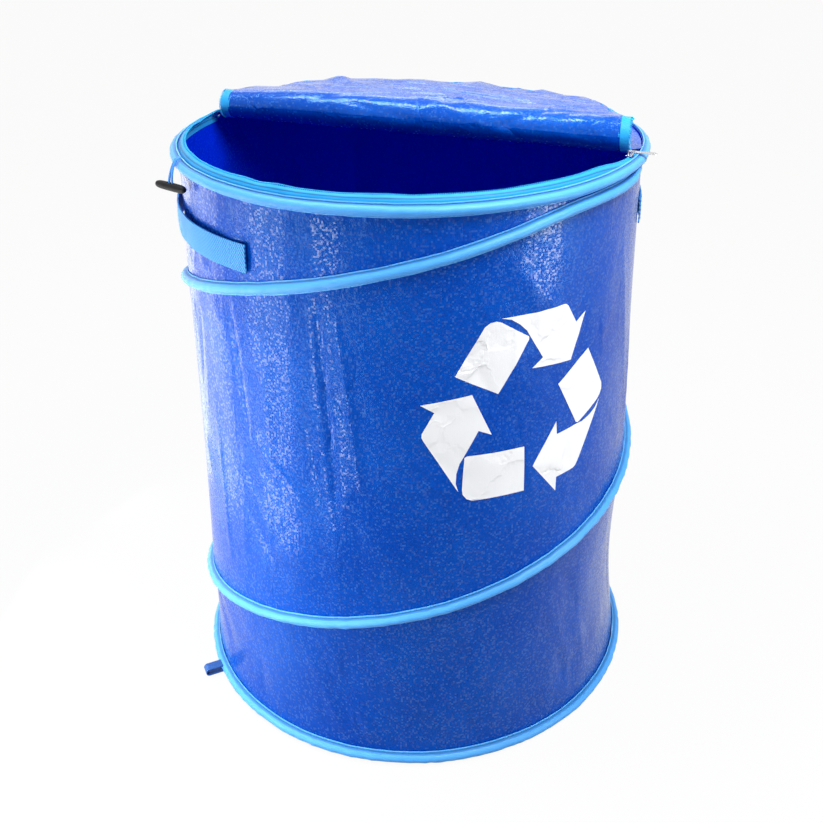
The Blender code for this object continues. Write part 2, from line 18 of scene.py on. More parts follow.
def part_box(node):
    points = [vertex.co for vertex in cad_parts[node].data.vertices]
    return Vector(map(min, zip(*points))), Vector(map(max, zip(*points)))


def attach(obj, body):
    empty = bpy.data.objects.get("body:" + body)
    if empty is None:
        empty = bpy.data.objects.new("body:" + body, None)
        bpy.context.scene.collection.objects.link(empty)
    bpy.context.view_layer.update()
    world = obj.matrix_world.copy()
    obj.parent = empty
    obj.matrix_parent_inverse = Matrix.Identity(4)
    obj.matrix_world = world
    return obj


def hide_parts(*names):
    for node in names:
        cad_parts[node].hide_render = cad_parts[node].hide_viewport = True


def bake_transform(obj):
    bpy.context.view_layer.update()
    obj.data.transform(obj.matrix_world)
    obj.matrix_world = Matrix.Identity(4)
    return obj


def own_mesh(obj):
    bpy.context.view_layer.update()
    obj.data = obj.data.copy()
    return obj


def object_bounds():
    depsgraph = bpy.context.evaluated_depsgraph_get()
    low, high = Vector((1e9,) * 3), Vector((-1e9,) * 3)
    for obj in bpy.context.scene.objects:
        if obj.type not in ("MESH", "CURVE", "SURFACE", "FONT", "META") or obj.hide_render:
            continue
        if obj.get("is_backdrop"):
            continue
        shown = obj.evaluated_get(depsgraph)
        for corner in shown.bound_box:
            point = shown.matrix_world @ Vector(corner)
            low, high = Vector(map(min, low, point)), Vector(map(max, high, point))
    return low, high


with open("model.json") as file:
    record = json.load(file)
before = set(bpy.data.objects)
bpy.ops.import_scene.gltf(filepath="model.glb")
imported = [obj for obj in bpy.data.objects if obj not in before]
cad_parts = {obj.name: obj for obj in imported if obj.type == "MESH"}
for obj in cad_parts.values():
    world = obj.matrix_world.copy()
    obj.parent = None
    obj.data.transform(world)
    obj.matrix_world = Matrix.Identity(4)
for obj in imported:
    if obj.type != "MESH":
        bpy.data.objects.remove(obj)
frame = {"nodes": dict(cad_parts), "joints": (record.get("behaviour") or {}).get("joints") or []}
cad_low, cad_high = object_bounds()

print("nodes", len(frame["nodes"]), "box", tuple(cad_low), tuple(cad_high))

# %% [markdown]
# ## The camera
# The photograph's rim and base ellipses give the camera: about 1.09 m in front of the can, looking
# down by 20.6 degrees. The picture is a crop, so the optical axis is not its middle. Blender says
# that with the lens shift, a share of the picture's width.

# %% Camera
PICTURE = 823.0
FOCAL = 1097.35              # focal length in pixels of the picture
AXIS_X = 429.22              # where the optical axis meets the picture
AXIS_Y = 247.74
CAMERA_PLACE = Vector((0.0, -1.09015, 0.87829))
PITCH = radians(20.61)       # downwards
YAW = radians(0.95)          # to the right
ROLL = radians(-0.36)


def add_object(name, data):
    """A new object in the scene."""
    made = bpy.data.objects.new(name, data)
    bpy.context.scene.collection.objects.link(made)
    return made


camera_data = bpy.data.cameras.new("camera")
camera_data.sensor_width = 36.0
camera_data.lens = FOCAL / PICTURE * camera_data.sensor_width
camera_data.shift_x = (PICTURE / 2 - AXIS_X) / PICTURE
camera_data.shift_y = (AXIS_Y - PICTURE / 2) / PICTURE
forward = Vector((sin(YAW) * cos(PITCH), cos(YAW) * cos(PITCH), -sin(PITCH)))
level_right = Vector((cos(YAW), -sin(YAW), 0.0))
level_up = level_right.cross(forward)
right = level_right * cos(ROLL) + level_up * sin(ROLL)
up = level_up * cos(ROLL) - level_right * sin(ROLL)
turn = Matrix((right, up, -forward)).transposed()
camera = add_object("camera", camera_data)
camera.matrix_world = Matrix.Translation(CAMERA_PLACE) @ turn.to_4x4()
bpy.context.scene.camera = camera
bpy.context.scene.view_settings.view_transform = "Standard"
print("lens", round(camera_data.lens, 2), "shift", camera_data.shift_x, camera_data.shift_y)

# %% [markdown]
# ## Small helpers
# Most of this object goes round one upright axis, so a point is easiest to say as a radius, an angle
# and a level. `piece` turns a bmesh into an object with a material, and gives it to a body of the frame.

# %% Helpers for places
CENTRE = (0.0, 0.0, 0.0)
UP = Vector((0.0, 0.0, 1.0))


def around(radius, angle, level):
    """The point at a radius and an angle in degrees round the can's axis."""
    return Vector((radius * cos(radians(angle)), radius * sin(radians(angle)), level))


def upright(place, x_way, up=UP):
    """A placement whose X looks along x_way and whose Z is as near up as it can be."""
    x = x_way.normalized()
    y = up.cross(x).normalized()
    return Matrix.Translation(place) @ Matrix((x, y, x.cross(y))).transposed().to_4x4()


def ease(value, low, high):
    """0 below low, 1 above high and a smooth step between them."""
    share = np.clip((value - low) / (high - low), 0.0, 1.0)
    return share * share * (3.0 - 2.0 * share)


def wander(angle, seed, reach=0.0006):
    """A slow unevenness round the can, so that no sewn line is a perfect circle."""
    turn = np.radians(angle)
    waves = (np.sin(2 * turn + seed) + 0.7 * np.sin(5 * turn + 2.3 * seed)
             + 0.5 * np.sin(11 * turn + 3.1 * seed))
    return reach * waves / 2.2


def loose(angle, seed, pitch):
    """An even random unevenness of about 1, with a value every pitch degrees round the can."""
    count = int(360.0 / pitch)
    table = np.random.default_rng(seed).normal(size=count)
    return np.interp(np.mod(angle, 360.0) / pitch, np.arange(count + 1), np.append(table, table[0]))


# %% Helper for pieces
def piece(name, shape, body, material, replaces=None, sharp=50.0):
    """A finished object from a bmesh, shaded smooth but for edges sharper than an angle."""
    mesh = bpy.data.meshes.new(name)
    shape.to_mesh(mesh)
    shape.free()
    mesh.shade_smooth()
    mesh.set_sharp_from_angle(angle=radians(sharp))
    mesh.materials.append(material)
    made = add_object(name, mesh)
    if body:
        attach(made, body)
    if replaces:
        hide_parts(replaces)
    print(name, len(mesh.polygons), "faces")
    return made


# %% [markdown]
# ## Sizes from the frame
# Nothing is measured twice: the rim's binding in the frame gives the can's radius, the height of the
# tape and the top, and the joint gives how far the can folds down.

# %% Sizes
def middle_level(node_name):
    low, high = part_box(node_name)
    return (low.z + high.z) / 2


rim_low, rim_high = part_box("rim_binding")
wall_low, wall_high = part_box("wall_panel")
CAN = rim_high.x                       # outer radius of the binding
TOP = rim_high.z
BAND = rim_high.z - rim_low.z          # height of a binding
SEAM = wall_high.x + 0.0003            # the bindings' inner side
BAND_OUT = CAN - SEAM
RIM_LEVEL = TOP - BAND / 2
BASE_LEVEL = BAND / 2
RIM_BAND_LEVEL = RIM_LEVEL - 0.0002    # the sewn bindings are a little off the frame's
BASE_BAND_LEVEL = BASE_LEVEL + 0.0008
TRAVEL = next(j for j in frame["joints"] if j["name"] == "collapse")["range_m"][1]
FOLDED_SHARE = (TOP - TRAVEL) / TOP    # height left when the can is folded down
LID_LEVEL = middle_level("lid_rear_panel")
print("radius", round(CAN, 4), "top", round(TOP, 4), "band", round(BAND, 4),
      "lid", round(LID_LEVEL, 4), "folded share", round(FOLDED_SHARE, 4))


# %% [markdown]
# ## Shader groups
# Woven tarpaulin, binding tape, webbing and zip tape are all woven, and the tarpaulin and the lid
# crease in the same way. What they share is built once as node groups that put out plain numbers:
# heights for a Bump node and tones for a colour. The shaders stay in the materials. `Value` lets a
# node's output stand in a formula, so that the patterns below read as the sums they are.

# %% Node helpers
class Value:
    """A node's output to calculate with. Each step of a formula makes one node."""

    def __init__(self, socket):
        self.socket = socket

    def math(self, operation, *others):
        return node(self.socket.id_data, "Math", enumerate((self, *others)), operation=operation)[0]

    def vector(self, operation, other):
        made = node(self.socket.id_data, "VectorMath", {0: self, 1: other}, operation=operation)
        return made["Value" if operation == "DOT_PRODUCT" else "Vector"]

    def __add__(self, other):
        return self.math("ADD", other)

    def __sub__(self, other):
        return self.math("SUBTRACT", other)

    def __mul__(self, other):
        return self.math("MULTIPLY", other)

    def __truediv__(self, other):
        return self.math("DIVIDE", other)

    def __abs__(self):
        return self.math("ABSOLUTE")

    def line(self, factor, offset):
        return self.math("MULTIPLY_ADD", factor, offset)

    def clip(self, low, high):
        return self.math("MAXIMUM", low).math("MINIMUM", high)

    def spread(self, low, high):
        """A 0 to 1 value mapped to a range."""
        return node(self.socket.id_data, "MapRange", {"Value": self, "To Min": low, "To Max": high})[0]


class Outputs:
    """A node's outputs by name or number, each as a value."""

    def __init__(self, sockets):
        self.sockets = sockets

    def __getitem__(self, label):
        return Value(self.sockets[label])


def feed(target, value):
    """Gives a socket what it reads: a number, a colour, a vector or another node's output."""
    if isinstance(value, Value):
        target.id_data.links.new(value.socket, target)
    elif isinstance(value, tuple):
        target.default_value = (*value, 1.0)[:len(target.default_value)]
    else:
        target.default_value = value


def node(tree, kind, inputs=(), **settings):
    """A new node with its settings, its inputs fed by name or number. Gives its outputs."""
    made = tree.nodes.new("ShaderNode" + kind)
    for label, value in settings.items():
        setattr(made, label, value)
    for label, value in dict(inputs).items():
        feed(made.inputs[label], value)
    return Outputs(made.outputs)


def new_group(name, vectors, numbers, outputs):
    """An empty node group: its tree, what it is given and what it puts out."""
    tree = bpy.data.node_groups.new(name, "ShaderNodeTree")
    for labels, way, kind in ((vectors, "INPUT", "NodeSocketVector"), (numbers, "INPUT", "NodeSocketFloat"),
                              (outputs, "OUTPUT", "NodeSocketFloat")):
        for label in labels:
            tree.interface.new_socket(label, in_out=way, socket_type=kind)
    given = Outputs(tree.nodes.new("NodeGroupInput").outputs)
    return tree, given, tree.nodes.new("NodeGroupOutput").inputs


def use(tree, group, **values):
    """A node group set into a material's tree."""
    return node(tree, "Group", values, node_tree=group)


# %% [markdown]
# **Weave.** Flat tapes go over and under each other. A chequerboard says which tape is on top, and
# each tape is a little crowned across its width. No two cells lie quite level and no two take the
# film alike, so each has a lean and a random tone of its own: they break a reflection into grains.

# %% Weave group
WEAVE, given, result = new_group("weave", ["Cloth"], ["Pitch"], ["Height", "Tone", "Tilt"])
split = node(WEAVE, "SeparateXYZ", {0: given["Cloth"]})
crowns, cells, arms = [], [], []
for way in ("X", "Y"):
    count = split[way] / given["Pitch"]
    part = count.math("FRACT")
    crowns.append(abs(part.line(2.0, -1.0)).math("POWER", 3.0).line(-1.0, 1.0))
    cells.append(count.math("FLOOR"))
    arms.append(part - 0.5)
over = (cells[0] + cells[1]).math("FLOORED_MODULO", 2.0)
feed(result["Height"], crowns[0] * over + crowns[1] * over.line(-1.0, 1.0))
cell = node(WEAVE, "CombineXYZ", {0: cells[0], 1: cells[1]})[0]
chance = node(WEAVE, "TexWhiteNoise", {"Vector": cell}, noise_dimensions="2D")
feed(result["Tone"], chance["Value"])
lean = node(WEAVE, "SeparateXYZ", {0: chance["Color"]})
tilt = (lean["X"] - 0.5) * arms[0] + (lean["Y"] - 0.5) * arms[1]
feed(result["Tilt"], tilt * (crowns[0] * crowns[1]) * given["Pitch"])
print("weave", len(WEAVE.nodes), "nodes")

# %% [markdown]
# **Creases.** A sheet that was folded small is made of flat facets that meet at sharp lines. Voronoi
# cells give the facets: each cell's random colour is the slope of its plane, and the distance to the
# cell's edge smooths the step to the next facet and marks the crease itself.

# %% Crease group
HALVES = (0.5, 0.5, 0.5)
CREASES, given, result = new_group("creases", ["Place"], ["Size", "Softness"], ["Height", "Line"])
finer = node(CREASES, "Math", {0: 1.0, 1: given["Size"]}, operation="DIVIDE")[0]
scaled = node(CREASES, "VectorMath", {0: given["Place"], "Scale": finer}, operation="SCALE")[0]
warp = node(CREASES, "TexNoise", {"Vector": scaled, "Scale": 1.1, "Detail": 3.0})["Color"]
warped = scaled.vector("ADD", warp.vector("SUBTRACT", HALVES).vector("MULTIPLY", (0.9, 0.9, 0.9)))
facet = node(CREASES, "TexVoronoi", {"Vector": warped, "Scale": 1.0})
edge = node(CREASES, "TexVoronoi", {"Vector": warped, "Scale": 1.0}, feature="DISTANCE_TO_EDGE")["Distance"]
arm = warped.vector("SUBTRACT", facet["Position"])
plane = facet["Color"].vector("SUBTRACT", HALVES).vector("DOT_PRODUCT", arm)
feed(result["Height"], plane * (edge / (edge + given["Softness"])) * given["Size"])
patches = node(CREASES, "TexNoise", {"Vector": warped, "Scale": 0.7})["Fac"]
line = (edge * 16.0).math("MINIMUM", 1.0).line(-1.0, 1.0)
feed(result["Line"], line.math("POWER", 2.0) * patches.line(9.0, -4.6).clip(0.0, 1.0))
print("creases", len(CREASES.nodes), "nodes")

# %% [markdown]
# **Drift.** No dyed cloth has one flat colour. A slow noise shifts the tone over a hand's width.

# %% Drift group
DRIFT, given, result = new_group("drift", ["Place"], ["Scale"], ["Tone"])
slow = node(DRIFT, "TexNoise", {"Vector": given["Place"], "Scale": given["Scale"], "Detail": 4.0})
feed(result["Tone"], slow["Fac"])
print("drift", len(DRIFT.nodes), "nodes")


# %% Material helpers
def new_material(name, roughness, metallic=0.0):
    """A material, its tree, its Principled shader's inputs and the places that its patterns read."""
    made = bpy.data.materials.new(name)
    made.use_nodes = True
    tree = made.node_tree
    inputs = tree.nodes["Principled BSDF"].inputs
    inputs["Roughness"].default_value = roughness
    inputs["Metallic"].default_value = metallic
    return made, tree, inputs, node(tree, "TexCoord")["Object"]


def cloth_map(tree):
    """The piece's own UV map, in metres along and across the cloth."""
    return node(tree, "UVMap", uv_map="cloth")[0]


def mix_colour(tree, share, first, second):
    return node(tree, "Mix", {0: share, 6: first, 7: second}, data_type="RGBA")[2]


def bump(tree, inputs, height):
    """Height in metres to the shader's normal."""
    feed(inputs["Normal"], node(tree, "Bump", {"Height": height, "Distance": 1.0, "Strength": 1.0})[0])


# %% [markdown]
# ## Tarpaulin
# The wall and the lid are laminated woven polyethylene: a clear film over flat tapes. Most of its look
# is in how it reflects. The film lies smooth on some cells of the weave only, so the weight of the
# clear coat follows each cell's random tone, and below it the cloth has a weak blue gloss that differs
# by cell. The bump has facets in two sizes, crease lines, the weave and a fine grain. On the wall the
# facets are drawn out upright, as on a can that was pressed flat. The lid is smoother and shinier.
# The wall's inner side is painted a brighter, more saturated blue: painted light that stands for the
# light that shines through the thin cloth.

# %% Tarpaulin material
DEEP_BLUE = (0.0, 0.038, 0.41)
BRIGHT_BLUE = (0.0, 0.108, 0.61)
DARK_CELLS = (0.0, 0.02, 0.22)
PALE_CELLS = (0.01, 0.24, 0.85)
# painted light: the inner side's colour stands for light shining through the cloth
PAINTED_SHINE_THROUGH_BLUE = (0.0, 0.026, 0.74)
GLOSS_TINT = (0.30, 0.80, 1.0)


def tarpaulin(name, stretch, facets, ripples, tilt, matt, shine):
    """Film over woven tape, from the depths of its facets and cells and the limits of its gloss."""
    made, tree, inputs, place = new_material(name, 0.16)
    woven = use(tree, WEAVE, Cloth=cloth_map(tree), Pitch=0.0018)
    long = place.vector("MULTIPLY", stretch)
    large = use(tree, CREASES, Place=long, Size=0.036, Softness=0.20)
    small = use(tree, CREASES, Place=long, Size=0.011, Softness=0.10)
    drift = use(tree, DRIFT, Place=place, Scale=9.0)["Tone"]
    grain = node(tree, "TexNoise", {"Vector": place, "Scale": 420.0, "Detail": 1.0})["Fac"]
    height = large["Height"] * facets
    for part, depth in ((small["Height"], ripples), (large["Line"], -0.00022), (small["Line"], -0.00014),
                        (woven["Height"], 0.00004), (grain, 0.00010), (woven["Tilt"], tilt)):
        height = height + part * depth
    bump(tree, inputs, height)
    tone = woven["Tone"]
    pale = tone.line(4.0, -3.3).math("MAXIMUM", 0.0)
    # The inner faces are painted the shine-through blue, as painted light.
    inner = node(tree, "Attribute", attribute_name="inside")["Fac"]
    colour = mix_colour(tree, drift, DEEP_BLUE, BRIGHT_BLUE)
    for share, other in ((tone * 0.40, DARK_CELLS), (pale * 0.35, PALE_CELLS), (inner, PAINTED_SHINE_THROUGH_BLUE)):
        colour = mix_colour(tree, share, colour, other)
    feed(inputs["Base Color"], colour)
    feed(inputs["Roughness"], tone.math("POWER", 1.6).spread(0.05, matt))
    feed(inputs["Coat Weight"], (tone.line(2.6, -2.42) + drift * 1.5).clip(0.0, 0.62))
    feed(inputs["Coat Roughness"], 0.13)
    feed(inputs["Specular IOR Level"], shine)
    feed(inputs["Specular Tint"], GLOSS_TINT)
    return made


wall_cloth = tarpaulin("tarpaulin_wall", (1.0, 1.0, 0.45), 0.085, 0.03, 0.34, 0.40, 0.18)
lid_cloth = tarpaulin("tarpaulin_lid", (1.0, 1.0, 1.0), 0.09, 0.02, 0.12, 0.30, 0.50)


# %% [markdown]
# ## Tapes
# The binding, the zip's tape, the webbing, the ribbon and the elastic differ in colour, in the size
# of the weave and in its depth. One function makes them all, with a thin sheen of loose fibre. Where
# a tape is sewn, thin lines along it are painted dark as the shade in its grooves, and painted pale
# as highlights on its hems. The webbing has slanting ribs for its weave.

# %% Tape materials
def sewn_lines(tree, cloth, levels, width):
    """1 on thin lines along the tape, at levels in metres across it, and 0 elsewhere."""
    across = node(tree, "SeparateXYZ", {0: cloth})["Y"]
    total = 0.0
    for level in levels:
        total = abs(across - level).line(-1.0 / width, 1.0).math("MAXIMUM", 0.0).math("MAXIMUM", total)
    return total


def tape(name, colour, shade, pitch, depth, roughness, sheen, slant=0.0, grooves=(), hem_highlights=(), ribs=0.0):
    """A woven tape. Its painted groove shade and painted hem highlights lie at levels across it; ribs is the
    way between two ribs.
    """
    made, tree, inputs, place = new_material(name, roughness)
    cloth = cloth_map(tree)
    turned = node(tree, "Mapping", {"Vector": cloth, "Rotation": (0.0, 0.0, radians(slant))})[0]
    woven = use(tree, WEAVE, Cloth=turned, Pitch=pitch)["Height"]
    drift = use(tree, DRIFT, Place=place, Scale=14.0)["Tone"]
    # Painted shade: the weave's hollows, and the webbing's rib valleys below, are drawn towards the shade
    # colour. The drift is a random tone of the tape.
    mixed = woven.line(-0.55, 0.55) + drift.spread(-0.15, 0.30)
    height = woven * depth
    if ribs:
        wave = (node(tree, "SeparateXYZ", {0: turned})["X"] * (2 * pi / ribs)).math("SINE")
        mixed = wave.line(0.62, 0.45)
        height = wave * -depth
    drawn = mix_colour(tree, mixed, colour, shade)
    if grooves:
        # Painted shade: thin dark lines where the tape is sewn down, standing for the shade in its grooves.
        dark = tuple(0.35 * channel for channel in shade)
        drawn = mix_colour(tree, sewn_lines(tree, cloth, grooves, 0.0009) * 0.85, drawn, dark)
    if hem_highlights:
        # Painted highlight: pale lines on the hems, standing for the light that their folded edges catch.
        pale = tuple(min(1.0, 1.25 * channel + 0.03) for channel in colour)
        drawn = mix_colour(tree, sewn_lines(tree, cloth, hem_highlights, 0.0011), drawn, pale)
    feed(inputs["Base Color"], drawn)
    bump(tree, inputs, height)
    feed(inputs["Sheen Weight"], sheen)
    feed(inputs["Sheen Roughness"], 0.4)
    feed(inputs["Specular IOR Level"], 0.35)
    return made


binding_tape = tape("binding_tape", (0.085, 0.41, 0.94), (0.025, 0.25, 0.74), 0.0009, 0.00005, 0.42, 0.15,
                    grooves=(-0.0050, 0.0050), hem_highlights=(-0.0063, 0.0063))
zip_tape = tape("zip_tape", (0.015, 0.37, 0.80), (0.0, 0.21, 0.58), 0.0008, 0.00006, 0.5, 0.1,
                grooves=(-0.0022, -0.0088), hem_highlights=(-0.0065,))
zip_coil = tape("zip_coil", (0.04, 0.58, 0.94), (0.0, 0.30, 0.66), 0.0008, 0.0, 0.32, 0.0)
webbing = tape("webbing", (0.035, 0.38, 0.78), (0.006, 0.09, 0.42), 0.0015, 0.00012, 0.55, 0.15,
               slant=-35.0, ribs=0.0026)
ribbon = tape("ribbon", (0.012, 0.10, 0.36), (0.004, 0.04, 0.17), 0.0007, 0.00006, 0.5, 0.2)
elastic = tape("elastic", (0.10, 0.40, 0.88), (0.03, 0.20, 0.60), 0.0009, 0.00012, 0.55, 0.2, slant=45.0)
thread = tape("thread", (0.12, 0.45, 0.92), (0.05, 0.30, 0.75), 0.0004, 0.00002, 0.5, 0.2)


# %% [markdown]
# ## Metal and plastic
# The slider is plated, with fine scratches that only change its roughness. The toggles are moulded,
# with the faint orange-peel surface of a cheap mould. The spring is plain drawn wire.

# %% Metal and plastic materials
def hard(name, colour, roughness, metallic, grain_scale, depth, shine=0.5):
    made, tree, inputs, place = new_material(name, roughness, metallic)
    grain = node(tree, "TexNoise", {"Vector": place, "Scale": grain_scale, "Detail": 3.0})["Fac"]
    drift = use(tree, DRIFT, Place=place, Scale=90.0)["Tone"]
    dark = tuple(channel * 0.7 for channel in colour)
    feed(inputs["Base Color"], mix_colour(tree, drift, colour, dark))
    feed(inputs["Roughness"], grain.spread(roughness * 0.7, roughness * 1.4))
    feed(inputs["Specular IOR Level"], shine)
    bump(tree, inputs, grain * depth)
    return made


plated = hard("plated_metal", (0.78, 0.78, 0.80), 0.2, 1.0, 1400.0, 0.00002)
black_plastic = hard("black_plastic", (0.004, 0.004, 0.005), 0.5, 0.0, 900.0, 0.00004, shine=0.2)
spring_steel = hard("spring_steel", (0.46, 0.47, 0.49), 0.35, 1.0, 700.0, 0.00002)


# %% [markdown]
# ## Sweeping round the can
# The wall, the bindings, the zip's tape and the handles are all a short line that was taken round the
# can's axis. `bmesh.ops.spin` does that. A few arrays then move the points, because creases are a
# matter of numbers, and `lay_cloth` writes where each corner lies on the flat cloth, in metres.

# %% Spin and cloth map
def chain(shape, points):
    """Points joined by edges, ready for an operator."""
    verts = [shape.verts.new(point) for point in points]
    return verts + [shape.edges.new(pair) for pair in zip(verts, verts[1:])]


def spun(points, first, last, steps, rise=0.0):
    """A line of (radius, level) points swept round the can's axis, from first to last in degrees."""
    shape = bmesh.new()
    whole = abs(abs(last - first) - 360.0) < 0.01 and not rise
    bmesh.ops.spin(shape, geom=chain(shape, [around(radius, first, level) for radius, level in points]),
                   cent=CENTRE, axis=UP, angle=radians(last - first), dvec=(0.0, 0.0, rise / steps),
                   steps=steps, use_merge=whole)
    return shape


def points_of(shape):
    """Every point of a shape, as the rows of an array."""
    return np.array([v.co[:] for v in shape.verts])


def places(shape):
    """Every point of a shape as three arrays: radius, angle in degrees and level."""
    co = points_of(shape)
    return np.hypot(co[:, 0], co[:, 1]), np.degrees(np.arctan2(co[:, 1], co[:, 0])), co[:, 2]


def level_xy(radius, angle):
    """The two level coordinates of places round an upright axis, as arrays."""
    return radius * np.cos(np.radians(angle)), radius * np.sin(np.radians(angle))


def move(shape, spots):
    """Moves every point of a shape to its own spot."""
    for vert, spot in zip(shape.verts, spots):
        vert.co = spot


def put(shape, radius, angle, level):
    """Moves every point of a shape to a radius, an angle in degrees and a level."""
    move(shape, zip(*level_xy(radius, angle), level))


def lay_cloth(shape, along, across, lap=0.0):
    """Writes the flat cloth's map from a value along and across for each point. lap closes a ring."""
    shape.verts.index_update()
    layer = shape.loops.layers.uv.new("cloth")
    for face in shape.faces:
        ways = [along[corner.vert.index] for corner in face.loops]
        far = max(ways)
        for corner, way in zip(face.loops, ways):
            if lap and far - way > lap / 2:
                way += lap
            corner[layer].uv = (way, across[corner.vert.index])


# %% Sides of a sheet
def even_normals(shape):
    bmesh.ops.recalc_face_normals(shape, faces=shape.faces[:])


def outwards(shape, side=lambda face: face.normal.xy.dot(face.calc_center_median().xy)):
    """Turns a sheet's faces so that most look away from the can's axis, or to another side."""
    even_normals(shape)
    if sum(side(face) for face in shape.faces) < 0:
        bmesh.ops.reverse_faces(shape, faces=shape.faces[:])


def thicken(shape, thickness, outside=0.0):
    """Gives a sheet its thickness: a share outside of where it is drawn, and the rest to its back."""
    shape.normal_update()
    for vert in shape.verts:
        vert.co += vert.normal * thickness * outside
    bmesh.ops.solidify(shape, geom=shape.faces[:], thickness=thickness)
    return shape


# %% [markdown]
# ## Where the spiral runs
# The spring is one steel wire in a fabric casing. It leaves the rim's binding at the right and winds
# down for a little more than one and a half turns to the base. The cloth between its turns hangs free.

# %% The spiral's path
SPIRAL_FIRST = -54.0         # degrees, where the casing leaves the rim's binding
SPIRAL_LAST = -624.0
SPIRAL_SAG = 0.008
LAPS = (0.0, -360.0, -720.0)


def spiral_level(angle):
    """Height of the casing's middle at an angle that goes on past a full turn."""
    top = RIM_LEVEL - BAND - 0.0003
    foot = BASE_LEVEL + BAND + 0.0003
    share = (SPIRAL_FIRST - angle) / (SPIRAL_FIRST - SPIRAL_LAST)
    share = (share + np.sqrt(share ** 2 + 0.012 ** 2)) / 2      # follows the rim before it leaves
    return top + (foot - top) * share - SPIRAL_SAG * np.sin(pi * np.clip(share, 0.0, 1.0))


def to_seams(angle, level):
    """Distance from each point up and down to the next sewn line, all as arrays."""
    above = np.where(level <= RIM_LEVEL, RIM_LEVEL - level, 0.0)
    below = np.where(level >= BASE_LEVEL, level - BASE_LEVEL, 0.0)
    for lap in LAPS:
        way = angle + lap
        on = (way <= -16.0) & (way >= -640.0)
        gap = spiral_level(way) - level
        above = np.where(on & (gap >= 0), np.minimum(above, gap), above)
        below = np.where(on & (gap < 0), np.minimum(below, -gap), below)
    return above, below


print("spiral", [round(float(spiral_level(angle)), 4) for angle in (SPIRAL_FIRST, SPIRAL_LAST)])

# %% [markdown]
# ## The wall's creases
# A crease is a straight, sharp ridge or valley that fades at its ends. `fold` gives one, `CREASE_LIST`
# holds those that the can was folded by, and a seeded random draw adds the many small ones. Near a
# seam the wire holds the cloth in place, so folds die out there, while short puckers start there.

# %% Wall creases
WALL_ARC = pi * SEAM                 # half of the wall's way round
rng = np.random.default_rng(11)


def fold(off, up, start, end, height, width, fade):
    """A straight ridge on flat cloth, at places measured off its start. fade shapes its ends."""
    run = np.hypot(end[0] - start[0], end[1] - start[1])
    dx, dy = (end[0] - start[0]) / run, (end[1] - start[1]) / run
    along = (off * dx + up * dy) / run
    side = off * dy - up * dx
    window = np.clip(along * (1.0 - along) * 4.0, 0.0, 1.0) ** fade
    return height * window * np.exp(-np.abs(side) / width)


def long_folds(count=95):
    """Starts and ends of the long folds, most of them near upright."""
    for _ in range(count):
        way, level = rng.uniform(-WALL_ARC, WALL_ARC), rng.uniform(0.0, TOP)
        lean = radians(rng.normal(8.0, 26.0))
        run = rng.uniform(0.05, 0.24)
        yield ((way - run / 2 * sin(lean), level + run / 2 * cos(lean)),
               (way + run / 2 * sin(lean), level - run / 2 * cos(lean)),
               rng.choice((-1.0, 1.0)) * rng.uniform(0.0005, 0.0020), rng.uniform(0.003, 0.009))


def puckers(count=420):
    """Short folds that start at the seams."""
    for _ in range(count):
        angle = rng.uniform(-180.0, 180.0)
        seams = [BASE_LEVEL + BAND / 2, RIM_LEVEL - BAND / 2]
        for lap in LAPS:
            if -640.0 < angle + lap < -42.0:
                middle = float(spiral_level(angle + lap))
                seams += [middle - BAND / 2, middle + BAND / 2]
        seam = seams[rng.integers(len(seams))]
        way = 1.0 if seam < RIM_LEVEL - BAND and rng.random() < 0.5 else -1.0
        run = rng.uniform(0.012, 0.045)
        lean = radians(rng.normal(0.0, 24.0))
        start = (radians(angle) * SEAM, seam - way * 0.004)
        end = (start[0] + run * sin(lean), start[1] + way * run * cos(lean))
        yield start, end, rng.choice((-1.0, 1.0)) * rng.uniform(0.0002, 0.0006), rng.uniform(0.002, 0.004)


CREASE_LIST = [
    ((-0.455, 0.525), (-0.440, 0.260), -0.0028, 0.0028),
    ((-0.437, 0.500), (-0.415, 0.300), 0.0026, 0.0026),
    ((-0.560, 0.500), (-0.540, 0.330), -0.0030, 0.0028),
    ((-0.545, 0.350), (-0.470, 0.290), 0.0022, 0.0050),
    ((-0.620, 0.540), (-0.575, 0.450), 0.0020, 0.0050),
    ((-0.330, 0.470), (-0.250, 0.330), -0.0016, 0.0080),
    ((-0.450, 0.330), (-0.330, 0.150), 0.0017, 0.0100),
    ((-0.290, 0.545), (-0.190, 0.440), 0.0018, 0.0090),
    ((-0.230, 0.230), (-0.140, 0.060), -0.0016, 0.0090),
    ((-0.130, 0.540), (-0.080, 0.300), 0.0015, 0.0080),
]
wall_folds = CREASE_LIST + list(long_folds())
wall_puckers = list(puckers())
print(len(wall_folds), "folds and", len(wall_puckers), "puckers")


# %% The wall's surface
def wall_radius(angle, level):
    """Outer radius of the cloth at each angle and level."""
    way = np.radians(angle) * SEAM
    above, below = to_seams(angle, level)
    bay = above + below
    share = below / np.maximum(bay, 1e-6)
    free = np.clip(np.minimum(above, below) - BAND / 2, 0.0, None)
    right = np.exp(-((angle + 6.0) / 34.0) ** 2) * (level < 0.25)
    draw_in = 0.0012 + 0.0012 * loose(angle, 3, 12.0) ** 2 * 0.4 + 0.0075 * right
    radius = SEAM - 0.0003 - draw_in * np.sin(pi * share) ** 1.1 * ease(bay, 0.02, 0.09)
    for folds, held in ((wall_folds, ease(free, 0.0, 0.022)), (wall_puckers, ease(free, -0.0005, 0.003))):
        for start, end, height, width in folds:
            off = np.mod(way - start[0] + WALL_ARC, 2 * WALL_ARC) - WALL_ARC
            radius = radius + held * fold(off, level - start[1], start, end, height, width, 0.8)
    return radius


